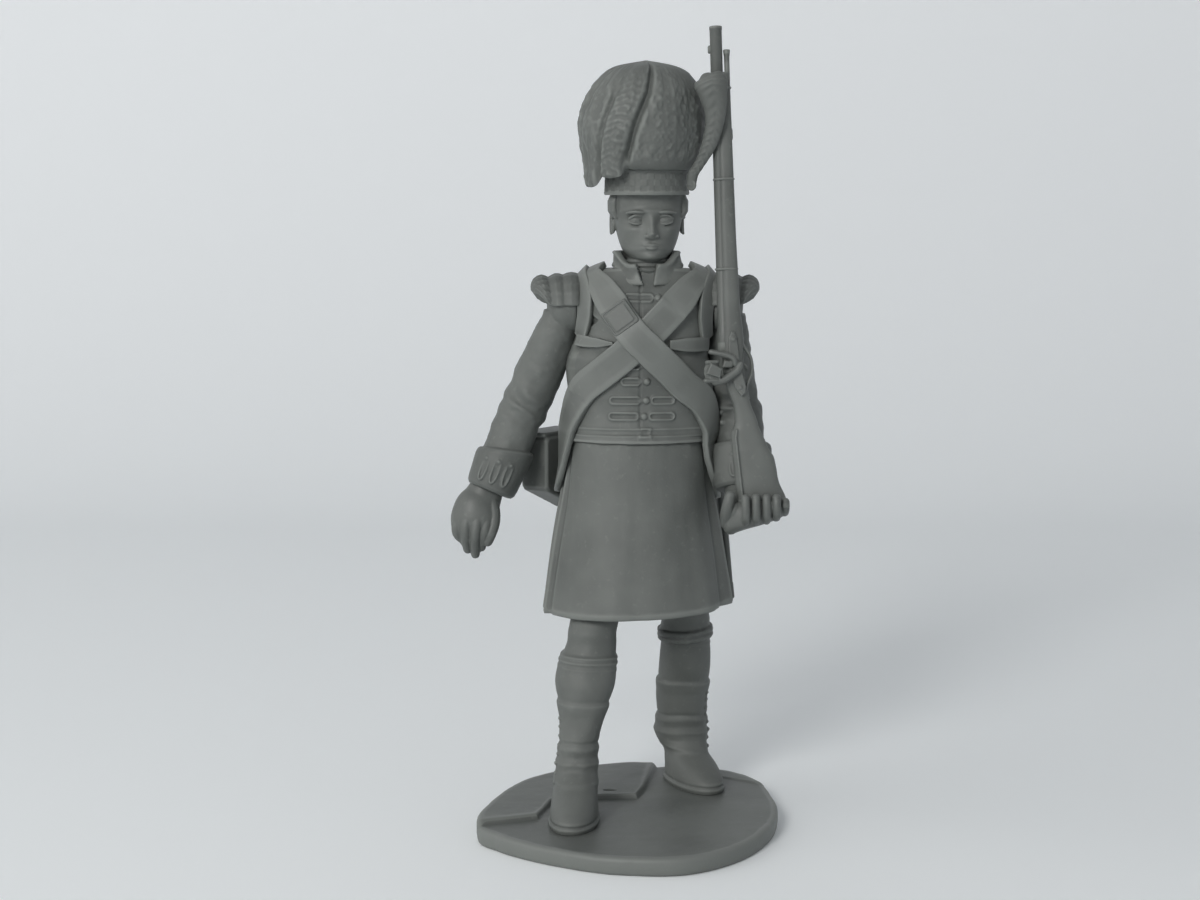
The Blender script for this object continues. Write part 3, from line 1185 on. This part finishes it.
# %% Shoulder wings
WING = [(-0.3, 2.62), (-0.3, 2.85), (0.0, 3.0), (0.5, 3.08), (0.95, 2.98), (1.25, 2.84), (1.6, 2.96),
        (2.0, 2.96), (2.35, 2.78), (2.6, 2.62), (2.85, 2.72), (3.2, 2.8), (3.6, 2.68), (3.95, 2.4),
        (4.15, 2.0), (4.2, 1.6), (4.0, 1.3), (3.6, 1.15), (3.2, 1.3), (2.75, 1.7), (2.3, 2.2), (1.5, 2.55),
        (0.6, 2.6)]


def wing_shells(joint, side):
    share = np.linspace(0, 1, 90)
    columns = []
    for u, r in WING:
        start = np.interp(u, [0, 2.2, 2.8, 3.4, 3.8, 4.2], [3, 2, 3, 12, 26, 44])
        t = np.radians(mix(start, 180 - start, share))
        roll = float(step(u, 2.4, 3.0))
        puff = r * (1 - 0.1 * (1 - np.sin(np.pi * share) ** 0.35))
        puff = puff + roll * 0.09 * np.sin(26 * t) + 0.03 * np.sin(17 * t)
        fan = u * (1 - 0.17 * np.cos(t) ** 2)
        columns.append(joint + xyz(side * fan, -np.cos(t) * puff, np.sin(t) * puff))
    return [skin(np.stack(columns, 1))]


piece("right_wing_roll", wing_shells(RIGHT_JOINT, -1), PADDED, cloth_plastic, ["right_wing"])
piece("left_wing_roll", wing_shells(LEFT_JOINT, 1), PADDED, cloth_plastic, ["left_wing"])

# %% [markdown]
# The right hand hangs relaxed with its broad back to the front. A skin modifier on a few edges could
# rough it out, but it pinches between the fingers. Here the back is a limb, four finger tubes lie
# close together over its lower half and draw in to the tips, and the thumb lies along the side.

# %% Right hand
right_wrist = right_keys[7, 1:4]


def from_wrist(rows):
    return right_wrist + np.asarray(rows, float)


def bend(rows, n):
    """A smooth path of n points through a few."""
    rows = np.asarray(rows, float)
    return along(np.column_stack([np.arange(len(rows)), rows]), np.linspace(0, len(rows) - 1, n))[:, 1:]


BACK = [(-0.05, 0.05, 0.7, 1.5), (-0.6, -0.1, -0.5, 1.75), (-1.1, -0.3, -1.5, 2.12), (-1.3, -0.4, -2.6, 2.28),
        (-1.45, -0.4, -3.7, 2.0), (-1.4, -0.35, -4.6, 1.35), (-1.3, -0.3, -5.3, 0.8), (-1.3, -0.3, -5.8, 0.2)]
back = [(i, *from_wrist((x, y, z)), r, 0.72 * r) for i, (x, y, z, r) in enumerate(BACK)]
hand = [skin(limb(back, np.linspace(0, 7, 80), 48))]
FINGERS = [((-2.6, -0.5, -2.0), (-2.95, -1.0, -2.8), (-2.95, -1.05, -3.7), (-2.6, -0.6, -4.3)),
           ((-1.85, -1.2, -2.0), (-2.1, -1.6, -2.9), (-2.15, -1.55, -4.1), (-2.0, -0.7, -5.3)),
           ((-0.95, -1.3, -2.0), (-1.15, -1.75, -2.95), (-1.3, -1.7, -4.2), (-1.3, -0.75, -5.75)),
           ((-0.2, -1.0, -1.9), (-0.25, -1.45, -2.8), (-0.5, -1.5, -3.9), (-0.75, -0.75, -5.1))]
for path in FINGERS:
    hand.append(tube(bend(from_wrist(path), 26), 0.5 - 0.08 * np.linspace(0, 1, 26) ** 2, sides=14))
thumb = from_wrist([(0.15, -0.5, -0.6), (0.45, -0.9, -1.9), (0.42, -1.25, -2.9), (0.15, -1.45, -3.8),
                    (-0.15, -1.35, -4.5)])
hand.append(tube(bend(thumb, 24), 0.62 - 0.16 * np.linspace(0, 1, 24), sides=14))
piece("right_fingers", hand, FINGER, smooth_plastic, ["right_hand"], body=ARM)

# %% [markdown]
# The musket is a wooden stock, a barrel with bands and a rod beside it. It leans two ways, so it is
# built upright in its own frame: z runs up the barrel from the breech, x points to the guard and -y
# to the lock. A rotated parent could tip it, but then each piece would need it, so one function takes
# its points to the figure's frame.

# %% Musket's frame and stock
BREECH = np.array([8.7, -0.3, 43.5])
MUZZLE, FORE_L, ROD_X = 29.1, 25.0, 0.92
lean, tilt = np.radians(5.2), np.radians(1.7)
TO_FIGURE = (np.array([[np.cos(tilt), 0, -np.sin(tilt)], [0, 1, 0], [np.sin(tilt), 0, np.cos(tilt)]])
             @ np.array([[1, 0, 0], [0, np.cos(lean), np.sin(lean)], [0, -np.sin(lean), np.cos(lean)]]))
STOCK = [(-13.2, 2.95, 2.2, 0.8), (-11.6, 2.57, 1.96, 0.85), (-10.4, 2.44, 1.9, 0.85),
         (-9.3, 2.28, 1.84, 0.85), (-8.8, 2.1, 1.68, 0.85), (-8.4, 1.99, 1.59, 0.82),
         (-7.8, 1.86, 1.51, 0.8), (-7.1, 1.69, 1.36, 0.78), (-6.6, 1.72, 1.12, 0.75),
         (-6.1, 1.72, 1.0, 0.72), (-4.75, 1.44, 0.8, 0.7), (-3.55, 1.09, 0.84, 0.7),
         (-2.8, 0.85, 0.88, 0.72), (-1.5, 0.75, 0.95, 0.76), (-0.5, 0.72, 0.95, 0.78),
         (1.2, 0.78, 0.95, 0.78), (4, 0.68, 0.82, 0.75), (10, 0.6, 0.72, 0.68), (24.4, 0.52, 0.63, 0.6),
         (25, 0.52, 0.53, 0.5)]


def carried(shells):
    return [(p @ TO_FIGURE.T + BREECH, f) for p, f in shells]


def turned(profile, centre=(0, 0), sides=32):
    """Round shell about the barrel's way: rows of height and radius."""
    t = circle(sides)
    rows = [xyz(centre[0] + r * np.cos(t), centre[1] + r * np.sin(t), z) for z, r in profile]
    return skin(np.array(rows))


def stock_row(h):
    k = along(STOCK, h)
    x, y = level(np.arange(0, 360, 6.0), (k[1], 0), k[2], k[3], k[3], 0.72)
    return xyz(x, y, h)


heights = np.concatenate([[-13.2, -13.12], np.linspace(-13, 24.9, 190), [25.0]])
BUTT_EDGE = [(0.85, -0.72, -6.9), (0.75, -0.78, -7.6), (0.95, -0.86, -10), (1.2, -0.8, -12.9)]
stock = [skin(np.array([stock_row(h) for h in heights])),
         plate(rounded(4.4, 1.75, 0.6), 0.35, 0.12, (2.95, 0, -13.35), np.eye(3)),
         tube(BUTT_EDGE, 0.12, sides=8)]
piece("stock_and_butt", carried(stock), FINE, smooth_plastic, ["musket_stock"])

# %% Barrel and bands
BARREL = [(-0.2, 0.3), (-0.15, 0.57), (0.6, 0.6), (2.2, 0.59), (2.3, 0.56), (MUZZLE - 0.35, 0.545),
          (MUZZLE - 0.3, 0.57), (MUZZLE - 0.04, 0.57), (MUZZLE, 0.53), (MUZZLE, 0.34), (MUZZLE - 0.8, 0.32),
          (MUZZLE - 0.9, 0.05)]
barrel = [turned(BARREL), plate(rounded(0.34, 0.42, 0.1), 0.7, 0.1, (-0.58, 0, MUZZLE - 2.4), np.eye(3))]
for height, middle, wide in ((7.5, 0.38, 0.95), (15.5, 0.35, 0.88), (23.6, 0.32, 0.84)):
    t = circle(32)
    strap = xyz(middle + wide * bent(np.cos(t), 0.8), 0.69 * bent(np.sin(t), 0.8), height)
    barrel.append(tube(strap, 0.11, closed=True, sides=8))
piece("barrel_and_bands", carried(barrel), AS_BUILT, smooth_plastic, ["musket_barrel"])

# %% Rod and pipes
ROD_END = FORE_L + 2
ROD = [(3.1, 0.1), (3.12, 0.24), (ROD_END - 1, 0.24), (ROD_END - 0.6, 0.25), (ROD_END - 0.1, 0.32),
       (ROD_END, 0.29), (ROD_END, 0.05)]
PIPE = [(-0.55, 0.2), (-0.5, 0.32), (-0.3, 0.36), (0.3, 0.35), (0.5, 0.32), (0.55, 0.2)]
rod = [turned(ROD, (ROD_X, 0), 20)]
for z in (4.2, 11.5, 19.5):
    rod.append(turned([(z + up, r) for up, r in PIPE], (ROD_X, 0), 20))
piece("rod_and_pipes", carried(rod), AS_BUILT, smooth_plastic, ["ramrod"])

# %% [markdown]
# The lock sits on the musket's near side. Its cock curves up from the plate and grips the flint in
# a heavy pair of jaws beside the barrel, and the frizzen leans over it. Real locks are many small
# parts, but on a moulding this size they run together, so a few tubes and plates are fused.

# %% Lock
OUTWARD = np.array([(1, 0, 0), (0, 0, 1), (0, -1, 0)])
LOCK_PLATE = [(0.65, -3.9), (0.95, -3.6), (1.02, -3.0), (0.6, -1.4), (0.3, 1.4), (0.1, 1.9), (-0.15, 1.9),
              (-0.4, 1.4), (-0.5, -1.2), (0.1, -3.2)]
lock = [plate(LOCK_PLATE, 0.45, 0.1, (0.75, -0.62, 0), OUTWARD)]
cock = bend([(1.3, -1.25, -1.05), (1.0, -1.32, -1.55), (0.45, -1.38, -1.98), (-0.3, -1.4, -2.4),
             (-1.0, -1.35, -2.5)], 26)
lock.append(tube(cock, 0.3 + 0.08 * np.linspace(0, 1, 26), sides=12))
lock.append(ball((-1.22, -1.25, -1.62), (0.82, 0.62, 1.02), rows=6, cols=7))
lock.append(plate(rounded(1.5, 1.0, 0.3), 0.4, 0.14, (-1.3, -1.3, -2.6), np.eye(3)))
lock.append(plate(rounded(1.3, 0.95, 0.3), 0.36, 0.12, (-1.2, -1.3, -0.95), np.eye(3)))
FLINT = [(-0.75, -0.3), (0.5, -0.75), (0.75, 0.1), (-0.3, 0.7)]
lock.append(plate(FLINT, 0.5, 0.14, (-1.05, -1.55, -1.5), OUTWARD))
frizzen = bend([(-1.3, -1.2, 0.15), (-0.6, -1.3, -0.02), (0.25, -1.35, -0.25), (0.72, -1.35, -0.55),
                (0.85, -1.3, -1.0)], 24)
lock.append(tube(frizzen, 0.24 + 0.05 * np.sin(np.linspace(0, 3, 24)), flat=1.25, sides=12))
PAN = [(-0.6, -0.35), (0.4, -0.35), (0.5, 0.2), (-0.3, 0.35)]
lock.append(plate(PAN, 0.55, 0.12, (0.2, -0.8, -0.95), OUTWARD))
for x, z in ((1.25, -3.1), (0.78, 1.2)):
    lock.append(ball((x, -1.08, z), (0.2, 0.12, 0.2)))
piece("flint_lock", carried(lock), TINY, smooth_plastic, ["musket_lock"])

# %% [markdown]
# The guard is a bow of flat strip round the trigger. A tube that is wider than it is thick gives the
# strip, and its lower end runs back along the wrist of the stock.

# %% Trigger guard
bow = bend([(1.5, 0, 0.9), (1.95, 0, 0.25), (2.3, 0, -0.45), (2.42, 0, -1.3), (2.32, 0, -2.0),
            (2.05, 0, -2.6), (1.85, 0, -3.2), (1.98, 0, -4.1)], 46)
trigger = tube([(1.6, 0, -0.9), (1.85, 0, -1.15), (2.0, 0, -1.55)], (0.14, 0.13, 0.1), sides=8)
guard = [tube(bow, 0.16, flat=1.9, sides=12), trigger]
piece("guard_bow", carried(guard), TINY, smooth_plastic, ["trigger_guard"])

# %% [markdown]
# The left hand carries the butt. The palm lies under the butt plate and its lower edge slopes up to
# the finger side. Four short fingers come up in front with a round knuckle past them, and the thumb
# lies along the near edge. It is built in the musket's frame, so that it keeps its grip however the
# musket leans, and a short wrist then joins it to the sleeve.

# %% Left hand
left_wrist, left_above = left_keys[7, 1:4], along(left_keys, 6.0)[1:4]
PALM = [(-16.25, 0.1, 0.6, 0.25, 0.4), (-15.9, 0.4, 0.6, 0.85, 0.95), (-15.5, 1.15, 0.6, 1.7, 1.4),
        (-14.9, 2.05, 0.7, 2.6, 1.8), (-14.1, 2.55, 0.75, 2.82, 1.95), (-13.3, 2.9, 0.8, 2.45, 1.9)]
rows = []
for h in np.linspace(-16.25, -13.3, 30):
    k = along(PALM, h)
    x, y = level(np.arange(0, 360, 7.5), (k[1], k[2]), k[3], k[4], k[4], 0.85)
    rows.append(xyz(x, y, h))
left = [skin(np.array(rows))]
LEFT_FINGERS = [(1.43, -14.9, -12.95), (2.36, -14.85, -12.9), (3.3, -14.75, -12.95), (4.18, -14.5, -13.0),
                (5.0, -14.1, -13.4)]
LEFT_THUMB = [(-0.2, 0.6, -15.2), (-0.25, -0.2, -14.4), (-0.1, -0.7, -13.5), (0.12, -0.75, -12.7)]
for x, low, tip in LEFT_FINGERS:
    near = -1.42 if x < 4.5 else -0.7
    path = [(x, near + 1.2, low - 0.3), (x, near + 0.35, low), (x, near, low + 0.5),
            (x, near - 0.03, tip - 0.5), (x, near + 0.1, tip)]
    left.append(tube(bend(path, 22), 0.4, sides=14))
left.append(tube(bend(LEFT_THUMB, 18), 0.62 - 0.12 * np.linspace(0, 1, 18), sides=14))
left.append(ball((0.5, -0.1, -14.1), (0.85, 0.75, 0.9)))
left = carried(left)
heel = np.array([1.0, 0.9, -14.5]) @ TO_FIGURE.T + BREECH
arm_end = left_wrist + unit(left_above - left_wrist) * 0.8
left.append(tube([arm_end, mix(left_wrist, heel, 0.4), heel], (1.5, 1.5, 1.4), sides=24))
piece("left_fingers", left, FINGER, smooth_plastic, ["left_hand"])

# %% [markdown]
# The two shoulder belts are flat leather ribbons that cross on the chest. A curve with a bevel
# would twist and cut into the body. Here a path gives the angle and height at each place, the
# jacket's own surface gives the point and its normal, and the ribbon's section has a flat face
# with crisp, rounded edges.

# %% Ribbons on the jacket
BELT_LIFT = 0.12
SECTION = np.array([(-1, -0.3), (-1, 0.7), (-0.98, 0.9), (-0.94, 1), (-0.86, 1.02), (-0.5, 1.03), (0, 1.05),
                    (0.5, 1.03), (0.86, 1.02), (0.94, 1), (0.98, 0.9), (1, 0.7), (1, -0.3)])


def path_at(path, s, turn):
    path = np.asarray(path, float)
    n, i = len(path), np.floor(s).astype(int)

    def at(j):
        if turn:
            return path[j % n] + np.outer(j // n, (turn, 0, 0))
        return path[np.clip(j, 0, n - 1)]

    a, b, c, d = at(i - 1), at(i), at(i + 1), at(i + 2)
    f = (s - i)[:, None]
    return spline(a, b, c, d, f)


def on_jacket(path, s, turn):
    """Points, normals and ways along a path on the jacket, with the path's own lift."""
    k = path_at(path, s, turn)
    z = WAIST_Z + k[:, 1]
    p = jacket_point(k[:, 0], z)
    around = jacket_point(k[:, 0] + 1, z) - jacket_point(k[:, 0] - 1, z)
    up = jacket_point(k[:, 0], np.minimum(z + 0.05, SEAM_Z - 0.01)) - jacket_point(k[:, 0], z - 0.05)
    normal = unit(np.cross(around, up))
    ends = [path_at(path, s + shift, turn) for shift in (0.05, -0.05)]
    ahead, behind = (jacket_point(e[:, 0], WAIST_Z + e[:, 1]) for e in ends)
    way = unit(ahead - behind)
    return p, normal, way, k[:, 2]


def ribbon(path, s, turn, half_w, thick, under):
    p, normal, way, lift = on_jacket(path, s, turn)
    across = unit(np.cross(normal, way))
    half_w = np.broadcast_to(np.asarray(half_w, float), len(s))[:, None, None]
    low = (BELT_LIFT + lift * under)[:, None, None]
    grid = p[:, None] + across[:, None] * half_w * SECTION[None, :, :1]
    grid = grid + normal[:, None] * (low + thick * SECTION[None, :, 1:])
    return ring_skin(grid) if turn else skin(grid)


print("a ribbon's section has", len(SECTION), "points")

# %% Belts: angle, height over the waist and lift over the other belt
BELT_T, BELT_STEP, OVER = 0.42, 0.06, 0.5
BAYONET_PATH = [(-95, 14.45, 0), (-62, 14.05, 0), (-40, 13.1, 0), (-27, 11.75, 0), (-17, 10.3, 0.45),
                (-9, 9.2, 0.9), (0, 8.05, 1), (11, 6.7, 1), (33, 4.4, 0.3), (53, 2.7, 0), (68, 0.2, 0),
                (80, -3.2, 0), (95, -5.2, 0), (114, -5, 0), (138, -2.6, 0), (160, -0.3, 0.7), (180, 1.4, 1),
                (198, 4, 0.3), (214, 9, 0), (224, 13.3, 0)]
POUCH_PATH = [(95, 14.45, 0), (62, 14.1, 0), (38, 13.1, 0), (24, 11.7, 0), (11, 10.1, 0), (1, 8.75, 0),
              (-9, 7.5, 0), (-25, 5.9, 0), (-48, 3.85, 0), (-66, 1.1, 0), (-78, -1.6, 0), (-90, -4.2, 0),
              (-112, -4.6, 0), (-138, -2.4, 0), (-160, -0.3, 0), (-180, 1.4, 0), (-198, 4, 0), (-214, 9, 0),
              (-224, 13.3, 0)]


def belt_half(s):
    return 0.85 + 0.57 * step(s, 0.8, 3.2) * (1 - step(s, 14, 17))


s = np.arange(0, 20, BELT_STEP)[:-1]
shells = [ribbon(BAYONET_PATH, s, 360, belt_half(s), BELT_T, OVER)]
piece("bayonet_shoulder_belt", shells, AS_BUILT, smooth_plastic, ["bayonet_belt"])
s = np.arange(0, 19, BELT_STEP)
shells = [ribbon(POUCH_PATH, s, -360, belt_half(s), BELT_T, 0)]
piece("pouch_shoulder_belt", shells, AS_BUILT, smooth_plastic, ["pouch_belt"])

# %% [markdown]
# A square blank plate clasps the upper belt. Its face stands up a little inside a raised rim. A cube
# with a bevel would be too sharp, so two bevelled plates and a thin tube are fused on the belt.

# %% Belt plate
PLATE_PLACE = 4.0
p, normal, way, lift = on_jacket(BAYONET_PATH, np.array([PLATE_PLACE]), 360)
n, w = normal[0], unit(np.cross(normal[0], way[0]))
face = np.array([w, np.cross(n, w), n])
plate_at = p[0] + n * (BELT_LIFT + lift[0] * OVER + 0.3)
rim = np.array([plate_at + n * 0.3 + w * x + face[1] * y for x, y in rounded(2.44, 2.24, 0.2, 6)])
clasp = [plate(rounded(2.7, 2.5, 0.16), 0.32, 0.1, plate_at, face),
         plate(rounded(2.15, 1.95, 0.2), 0.38, 0.12, plate_at, face), tube(rim, 0.09, closed=True, sides=8)]
piece("blank_belt_plate", clasp, CLASP, smooth_plastic, ["belt_plate"])

# %% [markdown]
# The pack's straps come over both shoulders on top of the belts and turn back under the arms. Two
# strap ends point across the chest. They are the same ribbons on other paths, thinner and narrower,
# so nothing new has to be made.

# %% Pack straps and the strap ends on the chest
STRAP = [(140, 11.6, 1), (125, 13.1, 1), (92, 13.9, 0.8), (70, 13.4, 0.6), (57, 12.2, 0.3), (56, 10.7, 0),
         (60, 9.4, 0), (66, 8.2, 0)]
s = np.arange(0.25, 6.8, BELT_STEP)
for side, name in ((-1, "right_pack_strap"), (1, "left_pack_strap")):
    path = [(side * a, h, lift) for a, h, lift in STRAP]
    piece(name + "_band", [ribbon(path, s, 0, 0.88, 0.3, 0.3)], AS_BUILT, smooth_plastic, [name])
CHEST = [(a, 8.2 - 0.002 * (a + 80), 0) for a in range(-80, 81, 10)]
ends = []
for first, last, wide in ((1.5, 5.7, (0.55, 0.52, 0.4, 0.12)), (9.9, 14.5, (0.4, 0.62, 0.64, 0.62))):
    s = np.linspace(first, last, 60)
    ends.append(ribbon(CHEST, s, 0, np.interp(s, np.linspace(first, last, 4), wide), 0.36, 0))
piece("chest_strap_ends", ends, AS_BUILT, smooth_plastic, ["chest_strap"])

# %% [markdown]
# A cartridge box hangs on the right hip and a bayonet on the left. Each could be turned as an object,
# but all points here lie in the figure's frame. So both are built in the hip's own frame, x along the
# hip, -y out of it and z up, and one function places them.

# %% Cartridge box


def on_hip(angle, h, out, pitch=0, roll=0):
    p = kilt_point(np.array([float(angle)]), np.array([WAIST_Z + h]), LAY, 0)[0]
    (c, cp, cr), (s, sp, sr) = cosd((angle, pitch, roll)), sind((angle, pitch, roll))
    turn = np.array([(c, s, 0), (-s, c, 0), (0, 0, 1)])
    tip = np.array([(cr, 0, -sr), (0, 1, 0), (sr, 0, cr)]) @ np.array([(1, 0, 0), (0, cp, sp), (0, -sp, cp)])
    return tip @ turn, p + np.array([s, -c, 0]) * out


def placed(shells, frame_of):
    axes, origin = frame_of
    return [(p @ axes + origin, f) for p, f in shells]


BOX_H, BOX_T = 6.4, 2.6
BOX = [(2.8, 3.2), (3.1, 2.9), (3.1, -1.5), (2.8, -1.9), (-2.4, -4.1), (-2.7, -3.9), (-2.7, 2.9), (-2.4, 3.2)]
FLAP = [(-2.9, 3.4), (3.3, 3.4), (3.35, 0.5), (3.2, -0.6), (1.8, -1.6), (0.2, -2.4), (-1.5, -3.1),
        (-2.8, -2.7), (-2.95, 0)]
box = [plate(BOX[::-1], BOX_T + 0.4, 0.2, (0, 0.4, 0), OUTWARD),
       plate(FLAP, 0.42, 0.14, (0, -BOX_T, 0), OUTWARD),
       plate(rounded(6.3, BOX_T + 0.5, 0.3), 0.42, 0.14, (0.2, -BOX_T / 2, BOX_H / 2), np.eye(3))]
stitch = np.array([(x * 0.92, -BOX_T - 0.42, z * 0.92 + 0.1) for x, z in FLAP])
box.append(tube(stitch, 0.1, closed=True, sides=6))
box.append(plate(rounded(0.8, 1.6, 0.2), 0.3, 0.1, (0, -BOX_T - 0.3, -1.9), OUTWARD))
box.append(ball((0, -BOX_T - 0.6, -2.3), (0.26, 0.2, 0.26)))
box = placed(box, on_hip(-124, -4.2, 1.26))
piece("hip_cartridge_box", box, COARSE, smooth_plastic, ["cartridge_box"])

# %% Bayonet
SCABBARD_L = 15.0


def sheath(z, r, grow):
    wide, front, back = 0.82 * grow * r, 0.5 * grow * r + 0.1, 0.36 * grow * r + 0.1
    x, y = level(np.arange(0, 360, 15.0), (0, 0), wide, front, back, 0.9)
    return xyz(x, y, z)


taper = [sheath(-SCABBARD_L * (1 - f), mix(0.42, 0.95, f), 1) for f in np.linspace(0, 1, 40)]
blade = [skin(np.array(taper)), ball((0, 0, -SCABBARD_L - 0.05), (0.26, 0.22, 0.26))]
for low, tall, r in ((-SCABBARD_L, 1.6, 0.46), (-1.5, 1.5, 1.0)):
    steps = ((0, 0.9), (0.1, 1.12), (tall - 0.1, 1.18), (tall, 1.0))
    blade.append(skin(np.array([sheath(low + z, r, grow) for z, grow in steps])))
blade.append(tube([(0, 0, -0.2), (0, 0, 1.2)], (0.4, 0.42), sides=16))
blade.append(tube([(0, -0.1, 0.6), (0.5, -0.2, 1.0), (0.7, -0.2, 0.3)], 0.15, sides=8))
blade = placed(blade, on_hip(114, -2, 1.45, -9.5, -5))
piece("hip_bayonet", blade, FINGER, smooth_plastic, ["bayonet_scabbard"])

# %% [markdown]
# The knapsack is a square pack. Its flap folds over the top and down the back, and three straps
# with buckles hold it. A plain box with a bevel would look like wood. Two rounded plates, a piped
# edge and flattened tubes, fused with a coarse voxel, look like stuffed canvas.

# %% Knapsack
PACK_W, PACK_H, PACK_T = 10.6, 8.8, 3.6
FLAP_LIFT, TOP, BACK_D, PACK_UP = PACK_H * 0.07, PACK_H / 2, 9.3 / 2, 8.4
BACKWARD = np.array([(1, 0, 0), (0, 0, 1), (0, 1, 0)])
pack = [plate(rounded(PACK_W, PACK_H, 0.9, 7), PACK_T + 1.0, 0.5, (0, -1.0, 0), BACKWARD),
        plate(rounded(PACK_W * 0.97, PACK_H * 0.86, 0.8, 7), PACK_T, 0.35, (0, 0.32, FLAP_LIFT), BACKWARD)]
edge = [(x, PACK_T + 0.3, z + FLAP_LIFT) for x, z in rounded(PACK_W * 0.9, PACK_H * 0.77, 0.7, 7)]
pack.append(tube(edge, 0.12, closed=True, sides=8))
for x in (-0.28 * PACK_W, 0, 0.28 * PACK_W):
    band = bend([(x, 0.6, TOP - 0.05), (x, PACK_T - 0.3, TOP - 0.1), (x, PACK_T + 0.22, TOP - 0.75),
                 (x, PACK_T + 0.32, 0), (x, PACK_T + 0.3, -TOP + 1.6), (x, PACK_T + 0.05, -TOP + 0.7)], 40)
    pack.append(tube(band, 0.42, flat=0.42, flat_way=(0, 1, 0.01), sides=12))
    clip = [(x + u, PACK_T + 0.42, v - PACK_H * 0.27) for u, v in rounded(1.15, 0.9, 0.15, 5)]
    pack.append(tube(clip, 0.13, closed=True, sides=8))
pack_at = np.array([BODY[0], BODY[1] + BACK_D + 0.6, WAIST_Z + PACK_UP])
pack = [(p + pack_at, f) for p, f in pack]
piece("knapsack_and_straps", pack, COARSE, cloth_plastic, ["knapsack"])
